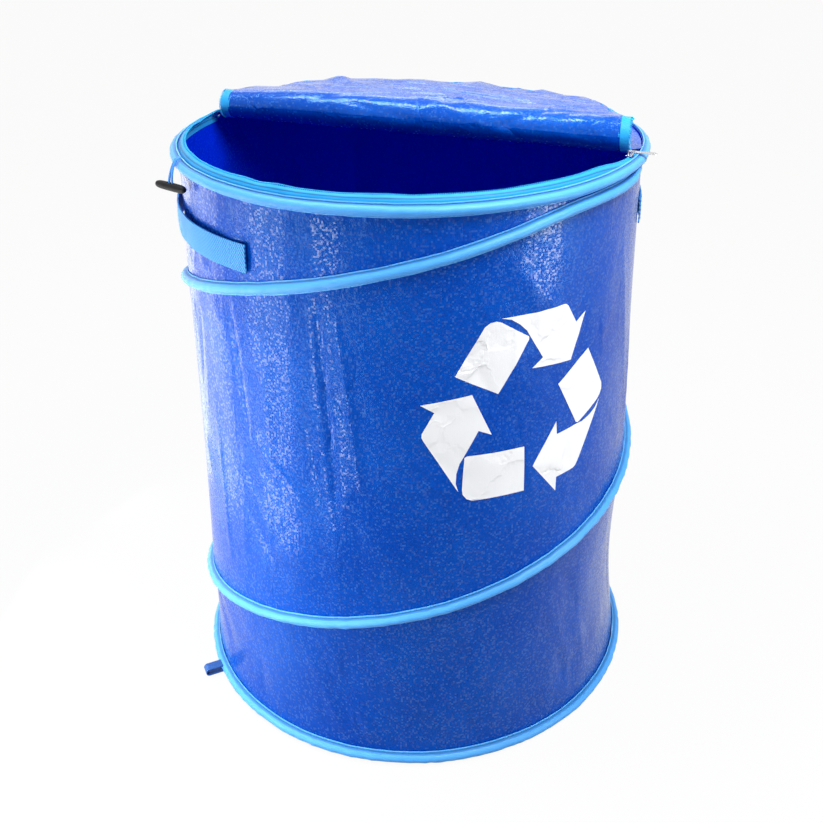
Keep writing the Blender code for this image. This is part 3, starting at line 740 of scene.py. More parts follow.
WALL_COLUMNS = 500
WALL_ROWS = 98
WALL_THICKNESS = 0.0006
WALL_FOOT = wall_low.z + 0.0002
WALL_HEAD = wall_high.z
shape = bmesh.new()
line = chain(shape, [around(SEAM, 180.0, level) for level in (WALL_FOOT, WALL_HEAD)])
bmesh.ops.subdivide_edges(shape, edges=line[2:], cuts=WALL_ROWS - 1)
bmesh.ops.spin(shape, geom=shape.verts[:] + shape.edges[:], cent=CENTRE, axis=UP,
               angle=2 * pi, steps=WALL_COLUMNS, use_merge=True)
outwards(shape)
_, angle, level = places(shape)
put(shape, wall_radius(angle, level), angle, level)
lay_cloth(shape, np.radians(angle) * SEAM, level, lap=2 * WALL_ARC)
wall_tree = BVHTree.FromBMesh(shape)
thicken(shape, WALL_THICKNESS)
shape.normal_update()
inside = shape.faces.layers.float.new("inside")
for face in shape.faces:
    face[inside] = 1.0 if face.normal.dot(face.calc_center_median() * Vector((1, 1, 0))) < 0 else 0.0
wall = piece("wall_cloth", shape, "root", wall_cloth, "wall_panel")


# %% [markdown]
# ## Bindings
# A binding is a tape folded over a wire and sewn to the wall along both its edges. It bulges over the
# wire and lies flat at its hems. The rim's and the base's go once round. The spiral's casing is the
# same tape on a helix: it follows the rim's for a while before it leaves, and slides under both others.

# %% Binding section
TAPE = 0.0009
HEM = 0.0016


def bulge(across):
    """How far a binding stands out, from 0 at its flat hems to 1 over the wire."""
    return np.clip(1.0 - np.abs(across / (BAND / 2 - HEM)) ** 2.0, 0.0, 1.0) ** 0.5


def band_line(count=12):
    """The tape's section from its lower edge to its upper one, with flat hems beside the tube."""
    tube = [-(BAND / 2 - HEM) * cos(pi * i / count) for i in range(count + 1)]
    levels = [-BAND / 2, -BAND / 2 + HEM / 2] + tube + [BAND / 2 - HEM / 2, BAND / 2]
    return [(SEAM, level) for level in levels]


def dress_band(shape, angle, across, middle, depth, seed):
    """Puts a band's points in place: its middle level, its depth and its unevenness."""
    slack = 0.00028 * loose(angle, seed, 1.3) + 0.00022 * loose(angle, seed + 1, 4.0)
    slack = np.maximum(slack, -0.0003)
    out = 0.0010 + (BAND_OUT - 0.0012) * bulge(across) * depth
    radius = SEAM + np.minimum(out + slack * (0.3 + bulge(across)) * depth, BAND_OUT)
    level = middle + across * (1.0 + 0.02 * loose(angle, seed + 2, 3.0)) + wander(angle, seed)
    put(shape, radius, angle, level)


def hoop(name, middle, node_name, body, seed):
    shape = spun(band_line(), -180.0, 180.0, 600)
    outwards(shape)
    _, angle, across = places(shape)
    dress_band(shape, angle, across, middle, 1.0, seed)
    lay_cloth(shape, np.radians(angle) * CAN, across, lap=2 * pi * CAN)
    return piece(name, thicken(shape, TAPE), body, binding_tape, node_name)


rim_band = hoop("rim_band", RIM_BAND_LEVEL, "rim_binding", "rim", 21)
base_band = hoop("base_band", BASE_BAND_LEVEL, "base_binding", "root", 31)


# %% Spiral binding
def on_spiral(shape, first, last):
    """The angle that goes on past a full turn, and the height off the helix, of every point."""
    _, angle, level = places(shape)
    guess = first - level * (first - last)
    angle = angle + 360.0 * np.round((guess - angle) / 360.0)
    return angle, level - (first - angle) / (first - last)


BAND_FIRST, BAND_LAST = -16.0, -637.0
shape = spun(band_line(), BAND_FIRST, BAND_LAST, 1020, rise=1.0)
outwards(shape)
angle, across = on_spiral(shape, BAND_FIRST, BAND_LAST)
depth = 0.12 + 0.88 * ease(-angle, 17.0, 30.0) * (1.0 - ease(-angle, 622.0, 636.0))
dress_band(shape, angle, across, spiral_level(angle) + 0.009 * (1.0 - ease(-angle, 16.0, 34.0)), depth, 41)
lay_cloth(shape, np.radians(angle) * CAN, across)
spiral_band = piece("spiral_band", thicken(shape, TAPE), "root", binding_tape, "spiral_binding")

WIRE = 0.0015
WIRE_PLACE = CAN - 0.0027
WIRE_FIRST, WIRE_LAST = SPIRAL_FIRST - 2.0, SPIRAL_LAST + 2.0
ring = [(WIRE_PLACE + WIRE * cos(pi * i / 5), WIRE * sin(pi * i / 5)) for i in range(11)]
shape = spun(ring, WIRE_FIRST, WIRE_LAST, 380, rise=1.0)
angle, across = on_spiral(shape, WIRE_FIRST, WIRE_LAST)
put(shape, places(shape)[0], angle, spiral_level(angle) + across)
bmesh.ops.remove_doubles(shape, verts=shape.verts[:], dist=0.00001)
bmesh.ops.holes_fill(shape, edges=shape.edges[:], sides=12)
outwards(shape)
spiral_spring = piece("spiral_spring", shape, "root", spring_steel, "spiral_wire")

# %% [markdown]
# ## Stitches
# Every seam is sewn with a doubled thread in the binding's colour. One stitch is a tiny rounded dash
# with twenty faces, and a seam is a few hundred copies of it, in one mesh.

# %% Stitch rows
STITCH = 0.0034
STITCH_PITCH = 0.0052
shape = bmesh.new()
bmesh.ops.create_icosphere(shape, subdivisions=1, radius=1.0)
bmesh.ops.scale(shape, verts=shape.verts[:], vec=(STITCH / 2, 0.00035, 0.00028))
one_stitch = bpy.data.meshes.new("one_stitch")
shape.to_mesh(one_stitch)
shape.free()


def stitches(name, spots, body):
    """One mesh of stitches, each at a place, along a way and lying on a face's normal."""
    shape = bmesh.new()
    for place, way, normal in spots:
        count = len(shape.verts)
        shape.from_mesh(one_stitch)
        shape.verts.ensure_lookup_table()
        bmesh.ops.transform(shape, matrix=upright(place, way, up=normal), verts=shape.verts[count:])
    return piece(name, shape, body, thread)


def row(radius, first, last, level_of):
    """Places of the stitches in a row round the can."""
    count = int(radians(abs(last - first)) * radius / STITCH_PITCH)
    for i in range(count):
        angle = first + (last - first) * (i + 0.5) / count
        place = around(radius, angle, float(level_of(angle)))
        rise = float(level_of(angle + 0.5) - level_of(angle - 0.5))
        way = around(radius, angle + 0.5, 0.0) - around(radius, angle - 0.5, 0.0) + UP * rise
        yield place, way, around(1.0, angle, 0.0)


HEM_IN = BAND / 2 - HEM / 2
HEM_OUT = SEAM + 0.0010 + (BAND_OUT - 0.0012) * float(bulge(HEM_IN))


def both_hems(first, last, middle_of, seed):
    """The two rows of stitches along a binding, from the level of its middle at an angle."""
    for side in (-1, 1):
        yield from row(HEM_OUT, first, last, lambda a: middle_of(a) + side * HEM_IN + wander(a, seed))


stitches("rim_stitches", both_hems(-180.0, 180.0, lambda a: RIM_BAND_LEVEL, 21), "rim")
stitches("base_stitches", both_hems(-180.0, 180.0, lambda a: BASE_BAND_LEVEL, 31), "root")
spiral_stitches = stitches("spiral_stitches", both_hems(-34.0, -622.0, spiral_level, 41), "root")

# %% [markdown]
# ## The floor of the can
# The base is one round panel of the same cloth. It is laid out in rings that are spun from a spoke,
# pulled tight by the base's wire and only a little uneven.

# %% Base panel
CLOTH = 0.0008
base_reach, _, base_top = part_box("base_panel")[1]
shape = spun([(max(base_reach * i / 40, 0.00001), base_top) for i in range(41)], -180.0, 180.0, 160)
bmesh.ops.remove_doubles(shape, verts=shape.verts[:], dist=0.0001)
outwards(shape, lambda face: face.normal.z)
radius, angle, level = places(shape)
waves = 0.0006 * np.sin(radius * 70 + 2 * np.sin(np.radians(angle) * 3))
put(shape, radius, angle, level + 0.0003 + waves * np.clip(1 - radius / base_reach, 0, 1))
lay_cloth(shape, *level_xy(radius, angle))
base_cloth = piece("base_cloth", thicken(shape, CLOTH), "root", lid_cloth, "base_panel")

# %% [markdown]
# ## The lid, from its flat pattern
# The lid is one round sheet. Its rear third is sewn to the rim, and the rest is rolled up and over to
# lie on top, open. So the lid is drawn flat, and `lid_place` carries every flat point to where it is:
# flat behind the fold line, round the roll, and down the slope on top of it. The tape and the teeth
# of the zip follow the same function, so they stay on the cloth's edge.

# %% Lid pattern
FOLD_WAY = radians(68.5)                    # horizontal direction of the fold line's normal, to the back
BACK = Vector((cos(FOLD_WAY), sin(FOLD_WAY), 0.0))
ALONG = Vector((sin(FOLD_WAY), -cos(FOLD_WAY), 0.0))
FOLD_LINE = 0.008                           # how far behind the can's axis the fold starts
ROLL_RADIUS = 0.017
ROLL_END = 3.2446                           # radians of roll before the flap runs straight
ROLL_LENGTH = ROLL_RADIUS * ROLL_END
ROLL_MIDDLE = FOLD_LINE - ROLL_RADIUS * ROLL_END / 2
FLAP_START = FOLD_LINE - ROLL_LENGTH        # flat place where the flap leaves the roll
REAR_REACH = 0.2316
ROLL_HALF = 0.2080
FLAP_REACH = 0.2148
FLAP_TAPE_REACH = 0.2232
FLAP_TEETH = 0.2243


def lid_place(x, y, lift=0.0):
    """Folded place of flat points, x along the fold and y to the back, lifted off the upper side."""
    girth = 1.0 + 0.045 * np.cos(np.clip(x / ROLL_HALF, -1, 1) * pi / 2) - 0.13 * ease(-x, 0.13, 0.215)
    x = (x + 0.0075 * ease(x, 0.05, 0.20) * (1.0 - ease(-y, 0.02, 0.10))
         * (1.0 - ease(y, FOLD_LINE + 0.004, FOLD_LINE + 0.03)))
    turn = np.clip((FOLD_LINE - y) / ROLL_RADIUS, 0.0, ROLL_END)
    radius = ROLL_RADIUS * girth
    run = np.clip(FLAP_START - y, 0.0, None)
    back = np.maximum(y, FOLD_LINE) - radius * np.sin(turn) - run * cos(ROLL_END) + lift * np.sin(turn)
    high = radius * (1.0 - np.cos(turn)) + run * sin(ROLL_END) + lift * np.cos(turn)
    return (np.outer(x, np.array(ALONG)) + np.outer(back, np.array(BACK))
            + np.outer(LID_LEVEL + high, np.array(UP)))


def lid_point(y):
    """The folded place of one point of the lid's middle line."""
    return tuple(lid_place(np.array([0.0]), np.array([y]))[0])


def edge_wave(x, y):
    """The slow waves of the flap's free edge, in metres off the sheet."""
    angle = np.degrees(np.arctan2(y, x))
    wave = 0.0017 * loose(angle, 81, 11.0) + 0.0009 * loose(angle, 82, 4.5)
    return wave * ease(np.hypot(x, y), 0.12, 0.205) * ease(-y, -FLAP_START, 0.085)


def lid_folds(seed, count, depth, lean, height, width, run):
    """Random straight folds of the lid's flat sheet: start, end, height and width."""
    draw = np.random.default_rng(seed)
    for _ in range(count):
        x, y = draw.uniform(-0.2, 0.2), draw.uniform(*depth)
        way = radians(draw.normal(lean, 22.0))
        half = draw.uniform(*run) / 2
        yield ((x - half * cos(way), y - half * sin(way)), (x + half * cos(way), y + half * sin(way)),
               draw.choice((-1.0, 1.0)) * draw.uniform(*height), draw.uniform(*width))


LID_FOLDS = [
    ((0.1375, -0.150), (0.1375, 0.060), -0.0009, 0.0012),
    ((0.088, -0.046), (0.122, 0.006), 0.0012, 0.0070),
    *lid_folds(5, 46, (-0.20, -0.05), 0.0, (0.0010, 0.0036), (0.004, 0.012), (0.06, 0.22)),
    *lid_folds(6, 26, (-0.048, 0.01), 3.0, (0.0003, 0.0010), (0.002, 0.005), (0.04, 0.16)),
    *lid_folds(7, 30, (0.02, 0.22), 20.0, (0.0003, 0.0012), (0.004, 0.010), (0.05, 0.2))]


def lid_lift(x, y):
    """Creases of the lid's cloth, which die out at its sewn edge."""
    total = np.zeros_like(x)
    for start, end, height, width in LID_FOLDS:
        total += fold(x - start[0], y - start[1], start, end, height, width, 1.0)
    edge = np.where(y > FOLD_LINE, REAR_REACH, FLAP_REACH) - np.hypot(x, y)
    return total * ease(edge, 0.0, 0.02) + edge_wave(x, y)


# %% Lid cloth
def round_width(reach, y):
    """Half width of a disc at a distance from its middle."""
    return np.sqrt(np.clip(reach ** 2 - y ** 2, 0.0, None))


def rear_width(y):
    """Half width of the rear panel, which narrows to the roll's at the fold."""
    whole = round_width(REAR_REACH, y)
    return np.where(y >= FOLD_LINE, whole - (whole - ROLL_HALF) * (1 - ease(y, FOLD_LINE, 0.03)), ROLL_HALF)


def flap_width(y):
    return np.where(y < FLAP_START, np.minimum(round_width(FLAP_REACH, y), ROLL_HALF + 0.01), ROLL_HALF)


def lid_sheet(name, low, high, reach):
    """The part of the lid between two flat lines, as a grid fitted between its curved ends."""
    shape = bmesh.new()
    bmesh.ops.create_grid(shape, x_segments=170, y_segments=110, size=1.0)
    co = points_of(shape)
    y = low + (high - low) * (co[:, 1] + 1.0) / 2
    x = co[:, 0] * reach(y)
    lay_cloth(shape, x, y)
    move(shape, lid_place(x, y, lid_lift(x, y)))
    return piece(name, thicken(shape, CLOTH, 0.5), None, lid_cloth)


lid_rear = lid_sheet("lid_rear", ROLL_MIDDLE, REAR_REACH - 0.0003, rear_width)
lid_flap = lid_sheet("lid_flap_cloth", -FLAP_REACH + 0.0003, ROLL_MIDDLE, flap_width)
lid_point(FOLD_LINE)
lid_point(ROLL_MIDDLE)
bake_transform(lid_rear)
lid_point(ROLL_MIDDLE)
lid_point(FLAP_START)
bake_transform(lid_flap)
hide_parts("lid_rear_panel", "lid_roll")
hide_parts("lid_flap")

# %% [markdown]
# ## The zip
# A coil zip runs from one end of the fold round the front to the other. Its tape stands on the rim
# and leans in, with the coil on its edge. The coil is one bent thread, so it is drawn as a helix that
# follows the tape's edge, and a curve's bevel gives the thread its thickness.

# %% Rim's zip tape
ZIP_FIRST, ZIP_LAST = -19.456, -203.544
ZIP_TOP = TOP + 0.0042
ZIP_TAPE = 0.0007
COIL = 0.0016
COIL_PITCH = 0.0019
TAPE_OUT, TAPE_IN = 0.2320, 0.2272
TAPE_LINE = [(0.2317, -0.0135), (0.2319, -0.0105), (TAPE_OUT, -0.0070), (0.2318, -0.0045),
             (0.2306, -0.0024), (0.2286, -0.0010), (TAPE_IN, -0.0003)]


def zip_level(angle):
    """Height of the rim's coil: at the lid's level at both ends and higher over the front."""
    rise = ease(-angle, 24.0, 46.0) * (1.0 - 0.15 * ease(-angle, 150.0, 199.0))
    return LID_LEVEL + (ZIP_TOP - LID_LEVEL) * rise


def zip_radius(angle):
    return 0.2259 + 0.0012 * ease(-angle, 40.0, 60.0) * (1.0 - ease(-angle, 110.0, 150.0))


shape = spun(TAPE_LINE, ZIP_FIRST, ZIP_LAST, 300)
radius, angle, across = places(shape)
angle = np.where(angle > 0, angle - 360.0, angle)
inner = (TAPE_OUT - radius) / (TAPE_OUT - TAPE_IN)
edge = np.clip(inner, 0, 1)
radius = TAPE_OUT - inner * (TAPE_OUT - zip_radius(angle) - COIL * 0.6) + 0.0003 * loose(angle, 51, 2.2) * edge
put(shape, radius, angle, zip_level(angle) + across + 0.00045 * loose(angle, 52, 5.0) * edge)
lay_cloth(shape, np.radians(angle) * 0.23, across)
piece("rim_tape", thicken(shape, ZIP_TAPE, 0.5), "rim", zip_tape, "rim_zip_tape")


# %% Threads
def worked_out(holder):
    """The bmesh of an object with its curve or modifiers worked out. The object goes."""
    bpy.context.view_layer.update()
    mesh = bpy.data.meshes.new_from_object(holder.evaluated_get(bpy.context.evaluated_depsgraph_get()))
    bpy.data.objects.remove(holder)
    shape = bmesh.new()
    shape.from_mesh(mesh)
    return shape


def round_thread(name, kind, points, radius, resolution, body, material):
    """A round thread through points, as a mesh."""
    curve = bpy.data.curves.new(name, "CURVE")
    curve.dimensions = "3D"
    curve.bevel_depth = radius
    curve.bevel_resolution = resolution
    curve.use_fill_caps = True
    spline = curve.splines.new(kind)
    spline.points.add(len(points) - 1)
    for target, point in zip(spline.points, points):
        target.co = (*point, 1.0)
    if kind == "NURBS":
        spline.use_endpoint_u = True
        spline.order_u = 4
        spline.resolution_u = 6
    shape = worked_out(add_object(name + "_curve", curve))
    even_normals(shape)
    return piece(name, shape, body, material)


def coil(name, route, ups, body):
    """A bent thread round a route of points, each with the direction that is up from the tape."""
    length = np.concatenate(([0.0], np.cumsum(np.linalg.norm(np.diff(route, axis=0), axis=1))))
    at = np.linspace(0.0, length[-1], int(length[-1] / COIL_PITCH * 8))
    middle, lift = (np.stack([np.interp(at, length, np.array(values)[:, i]) for i in range(3)], axis=1)
                    for values in (route, ups))
    side = np.cross(np.gradient(middle, axis=0), lift)
    side /= np.linalg.norm(side, axis=1)[:, None]
    lift /= np.linalg.norm(lift, axis=1)[:, None]
    phase = at / COIL_PITCH * 2 * pi
    points = (middle + side * (np.cos(phase) * (COIL / 2) * 1.25)[:, None]
              + lift * (np.sin(phase) * (COIL / 2) * 0.85)[:, None])
    return round_thread(name, "POLY", points, 0.00040, 0, body, zip_coil)


angles = np.linspace(ZIP_FIRST - 1.0, ZIP_LAST + 1.0, 600)
levels = zip_level(angles) + 0.00045 * loose(angles, 52, 5.0)
route = np.array([around(*spot) for spot in zip(zip_radius(angles), angles, levels)])
rim_coil = coil("rim_coil", route, [UP] * len(route), "rim")
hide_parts("rim_zip_coil")

# %% [markdown]
# The flap carries the other half of the zip on its round edge, and the roll's two ends carry the part
# between. Both are drawn flat and carried over by the lid's own function.

# %% Flap's zip
FLAP_OPENING = degrees(asin(-FLAP_START / FLAP_TAPE_REACH)) + 0.6
FLAP_FIRST, FLAP_LAST = -FLAP_OPENING, -180.0 + FLAP_OPENING
FOLD_TURN = degrees(atan2(ALONG.y, ALONG.x))     # from the flat pattern's angles to the can's


def flap_lift(angle, x, y, share=1.0):
    """Height of the tape off the sheet. Over the front its edge comes to the closed rim's coil."""
    curl = 0.0012 - (zip_level(angle + FOLD_TURN) - LID_LEVEL) * 0.9
    return 0.0004 * loose(angle, 61, 3.0) + edge_wave(x, y) - curl * share ** 1.3


def lid_coil(name, x, y, lift, body):
    return coil(name, lid_place(x, y, lift), lid_place(x, y, 1.0) - lid_place(x, y, 0.0), body)


inner = FLAP_REACH - 0.0016
width = FLAP_TAPE_REACH - inner
shape = spun([(inner + width * i / 6, 0.0) for i in range(7)], FLAP_FIRST, FLAP_LAST, 220)
radius, angle, _ = places(shape)
x, y = level_xy(radius, angle)
lay_cloth(shape, np.radians(angle) * 0.22, radius)
move(shape, lid_place(x, y, flap_lift(angle, x, y, np.clip((radius - inner) / width, 0.0, 1.0))))
even_normals(shape)
piece("flap_tape", thicken(shape, ZIP_TAPE, 0.5), "lid_front", zip_tape, "flap_zip_tape")
angles = np.linspace(FLAP_FIRST, FLAP_LAST, 500)
x, y = level_xy(FLAP_TEETH, angles)
flap_coil = lid_coil("flap_coil", x, y, flap_lift(angles, x, y), "lid_front")
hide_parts("flap_zip_coil")


# %% Roll's zip tapes
def roll_strip(name, side, low, high):
    """One half of the tape on the roll's end, and its coil."""
    shape = bmesh.new()
    bmesh.ops.create_grid(shape, x_segments=5, y_segments=26, size=0.5)
    co = points_of(shape)
    y = low + (high - low) * (co[:, 1] + 0.5)
    x = side * (ROLL_HALF - 0.0018 + 0.0105 * (co[:, 0] + 0.5))
    lay_cloth(shape, y, x)
    move(shape, lid_place(x, y))
    strip = piece(name, thicken(shape, ZIP_TAPE, 0.5), None, zip_tape)
    y = np.linspace(high, low, 60)
    x = np.full_like(y, side * (ROLL_HALF + 0.0095))
    for made in (strip, lid_coil(name + "_coil", x, y, 0.0, None)):
        lid_point(high)
        lid_point(low)
        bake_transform(made)
    return strip


for side, word in ((-1.0, "left"), (1.0, "right")):
    lower = roll_strip("roll_strip_lower_" + word, side, ROLL_MIDDLE, FOLD_LINE)
    roll_strip("roll_strip_upper_" + word, side, FLAP_START, ROLL_MIDDLE)
    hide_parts("roll_tape_" + word)


# %% [markdown]
# ## Parts taken from the frame
# The slider, its pull and the stops have the right shape already. What they lack is the small round on
# every edge that catches the light. Each is copied, its loose triangles are merged into real faces,
# and its sharp edges are bevelled. The ferrules and the hoops' wires are hidden and only get a metal.

# %% Rounded copies
def soften(shape, edges, width):
    """A small round on some edges."""
    bmesh.ops.bevel(shape, geom=edges, offset=width, offset_type="OFFSET", affect="EDGES", segments=2,
                    profile=0.5, material=-1, clamp_overlap=True)


def rounded(node_name, body, width):
    shape = bmesh.new()
    shape.from_mesh(frame["nodes"][node_name].data)
    bmesh.ops.remove_doubles(shape, verts=shape.verts[:], dist=0.000005)
    bmesh.ops.dissolve_limit(shape, angle_limit=radians(2.0), verts=shape.verts[:], edges=shape.edges[:])
    soften(shape, [edge for edge in shape.edges
                   if len(edge.link_faces) == 2 and edge.calc_face_angle() > radians(35.0)], width)
    piece(node_name + "_rounded", shape, body, plated, node_name, sharp=40.0)


rounded("zip_slider", "slider", 0.0002)
rounded("zip_pull", "pull", 0.00018)
for word in ("left", "right"):
    rounded("zip_stop_" + word, "rim", 0.0001)
for node_name in ("rim_wire", "base_wire", "rim_ferrule", "base_ferrule"):
    frame["nodes"][node_name].data.materials.clear()
    frame["nodes"][node_name].data.materials.append(spring_steel)

# %% [markdown]
# ## Toggles
# A toggle is an elastic loop, sewn under the rim's binding, with a moulded bar on it. When the can is
# folded, the bars go through the base's ribbon loops and hold it shut. The bar is turned on a spin
# round its own length, and a box cuts the slot that the elastic lies in.

# %% Toggle bars
BAR_RADIUS = 0.0041
SLOT_FLOOR = 0.0017              # how far under the bar's middle the slot goes
BAR_OUTLINE = [(0.0200, 0.0000), (0.0200, 0.0013), (0.0195, 0.0022), (0.0186, 0.0029), (0.0170, 0.0034),
               (0.0145, 0.0038), (0.0110, 0.0040), (0.0060, BAR_RADIUS), (0.0, BAR_RADIUS)]


def toggle_bar(side, place):
    shape = bmesh.new()
    outline = BAR_OUTLINE + [(-x, r) for x, r in reversed(BAR_OUTLINE[:-1])]
    bmesh.ops.spin(shape, geom=chain(shape, [(x, 0.0, r) for x, r in outline]), cent=CENTRE, axis=(1, 0, 0),
                   dvec=CENTRE, angle=2 * pi, steps=28, use_merge=True)
    bmesh.ops.remove_doubles(shape, verts=shape.verts[:], dist=0.00001)
    even_normals(shape)
    bar = piece("bar_blank_" + side, shape, None, black_plastic, sharp=60.0)
    shape = bmesh.new()
    bmesh.ops.create_cube(shape, size=1.0)
    bmesh.ops.scale(shape, verts=shape.verts[:], vec=(0.008, 0.003, 2 * BAR_RADIUS))
    bmesh.ops.translate(shape, verts=shape.verts[:], vec=UP * (BAR_RADIUS - SLOT_FLOOR))
    soften(shape, shape.edges[:], 0.0004)
    cutter = piece("slot_" + side, shape, None, black_plastic)
    cut = bar.modifiers.new("slot", "BOOLEAN")
    cut.operation = "DIFFERENCE"
    cut.object = cutter
    shape = worked_out(bar)
    bpy.data.objects.remove(cutter)
    bmesh.ops.transform(shape, matrix=place, verts=shape.verts[:])
    piece("bar_" + side, shape, "toggle_" + side, black_plastic, "toggle_bar_" + side, 40.0)


# %% Toggle loops
CORD = 0.0022
CORD_SPREAD = 0.0048             # between the two strands at the bar
CORD_START_SPREAD = 0.0028       # between them at the rim


def toggle(side, angle, turn):
    """The loop over the rim's binding and the bar that hangs in it."""
    rim_way = around(1.0, angle + 90.0, 0.0)
    bar_way = around(1.0, angle + turn + 90.0, 0.0)
    start = around(CAN + CORD / 2 + 0.0003, angle, TOP - 0.0025)
    bar = around(CAN + 0.0065, angle, start.z - 0.023)
    bend = CORD_SPREAD / 2
    centre = bar + UP * (bend + CORD / 2 - SLOT_FLOOR + 0.0003)
    tuck = [around(CAN - 0.0052, angle, TOP + 0.0014), around(CAN - 0.0015, angle, TOP + 0.0019)]
    strand = [(point, rim_way * (CORD_START_SPREAD / 2)) for point in tuck]
    for i in range(5):
        share = i / 5
        middle = start.lerp(centre, share) + around(1.0, angle, 0.0) * (CORD * sin(pi * share) / 2)
        way = rim_way.lerp(bar_way, share).normalized()
        strand.append((middle, way * ((CORD_START_SPREAD + (CORD_SPREAD - CORD_START_SPREAD) * share) / 2)))
    route = [middle - offset for middle, offset in strand]
    for i in range(7):
        lean = pi + pi * i / 6
        route.append(centre + bar_way * (bend * cos(lean)) + UP * (bend * sin(lean)))
    route += [middle + offset for middle, offset in reversed(strand)]
    loop = round_thread("loop_" + side, "NURBS", route, CORD / 2, 3, "toggle_" + side, elastic)
    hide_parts("toggle_loop_" + side)
    toggle_bar(side, upright(bar, bar_way))


toggle("left", -156.0, 28.0)
toggle("right", 30.0, 0.0)


# %% [markdown]
# ## Base loops
# A short ribbon is folded into an eye and sewn under the base's binding. The toggles go through it.

# %% Base loops
RIBBON = 0.0008
RIBBON_WIDTH = 0.011
EYE_RADIUS = 0.0041
EYE_REACH = 0.018
EYE_LEVEL = 0.0070


def base_loop(side, angle):
    half = EYE_RADIUS - RIBBON / 2
    bend = CAN + EYE_REACH - EYE_RADIUS
    legs = [CAN + 0.0003 + (bend - CAN) * i / 8 for i in range(1, 9)]
    line = [(radius, -half) for radius in [CAN - 0.0012] + legs]
    line += [(bend + half * cos(radians(a)), half * sin(radians(a))) for a in range(-75, 90, 15)]
    line += [(radius, half) for radius in legs[::-1] + [CAN - 0.0012]]
    aside = around(RIBBON_WIDTH / 2, angle + 90.0, 0.0)
    shape = bmesh.new()
    edges = chain(shape, [around(r, angle, EYE_LEVEL + z) - aside for r, z in line])[len(line):]
    for _ in range(8):
        made = bmesh.ops.extrude_edge_only(shape, edges=edges)["geom"]
        new = [item for item in made if isinstance(item, bmesh.types.BMVert)]
        edges = [item for item in made
                 if isinstance(item, bmesh.types.BMEdge) and all(v in new for v in item.verts)]
        bmesh.ops.translate(shape, verts=new, vec=around(RIBBON_WIDTH / 8, angle + 90.0, 0.0))
    even_normals(shape)
    co = points_of(shape)
    lay_cloth(shape, np.hypot(co[:, 0], co[:, 1]), co @ np.array(around(1.0, angle + 90.0, 0.0)))
    piece("eye_" + side, thicken(shape, RIBBON, 0.5), "root", ribbon, "base_loop_" + side)


base_loop("left", -156.0)
base_loop("right", 30.0)

# %% [markdown]
# ## Handles
# Each handle is a strip of webbing that stands a little off the wall between two sewn ends. It is
# spun like the bindings: two halves meet at the middle, and each end is a short piece sewn down with
# a box of stitches.

# %% Handles
HANDLE_WIDTH, WEBBING = 0.027, 0.0014
HANDLE_REACH = 33.0                  # degrees from the handle's middle to its sewn end
HANDLE_FREE = 27.0                   # degrees from its middle to where it is sewn down
HANDLE_LEVEL = middle_level("handle_left")
HANDLE_STITCHES = SEAM + WEBBING + 0.0004


def webbing_strip(name, first, last, slack, steps, body):
    shape = spun([(SEAM, HANDLE_WIDTH * (i / 10 - 0.5)) for i in range(11)], first, last, steps)
    outwards(shape)
    _, angle, across = places(shape)
    angle = angle + 360.0 * np.round(((first + last) / 2 - angle) / 360.0)
    crown = 0.0005 * (1.0 - (across / (HANDLE_WIDTH / 2)) ** 2)
    radius = SEAM + WEBBING + slack(angle) + crown + 0.0002 * loose(angle, 71, 2.5)
    put(shape, radius, angle, HANDLE_LEVEL + across + 0.0005 * loose(angle, 72, 9.0))
    lay_cloth(shape, np.radians(angle) * CAN, across)
    return piece(name, thicken(shape, WEBBING), body, webbing)


def box_stitches(first, last):
    """Places of the stitches round the box that holds a handle's end down."""
    for level in (-0.011, 0.011):
        yield from row(HANDLE_STITCHES, first, last, lambda a: HANDLE_LEVEL + level)
    for level in np.linspace(-0.0085, 0.0085, 5):
        for a in (first, last):
            yield around(HANDLE_STITCHES, a, HANDLE_LEVEL + level), UP, around(1.0, a, 0.0)


def handle(side, middle):
    base, strap = "handle_" + side + "_base", "handle_" + side + "_strap"

    def slack(angle):
        stand = 0.003 * np.clip(1.0 - ((angle - middle) / HANDLE_FREE) ** 4, 0.0, 1.0)
        return stand * (ease(angle, middle - 30.0, middle) if side == "right" else 1.0)

    for word, way in (("front", 1.0), ("rear", -1.0)):
        way = way if side == "left" else -way
        tag = side + "_" + word
        sewn, tip = middle + way * HANDLE_FREE, middle + way * HANDLE_REACH
        end = webbing_strip("handle_end_" + tag, sewn, tip, slack, 10, base)
        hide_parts("handle_" + side + "_end_" + word)
        half = webbing_strip("strap_" + tag, middle, middle + way * 27.05, slack, 60, None)
        tuple(around(SEAM, middle + way * 26.0, HANDLE_LEVEL))
        tuple(around(SEAM, middle + way * 4.0, HANDLE_LEVEL))
        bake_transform(half)
        if word == "front":
            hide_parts("handle_" + side)
        spots = box_stitches(middle + way * 28.0, middle + way * 32.2)
        stitches("handle_stitches_" + tag, spots, base)


handle("left", -162.0)
handle("right", 18.0)

# %% [markdown]
# ## The printed sign
# The wall carries the common recycling pictogram: three arrows that chase each other, each with a
# folded tail. One arrow is drawn as a flat outline, copied by turns of 120 degrees, cut into small
# cells, and laid on the creased cloth a third of a millimetre off it, as ink is.

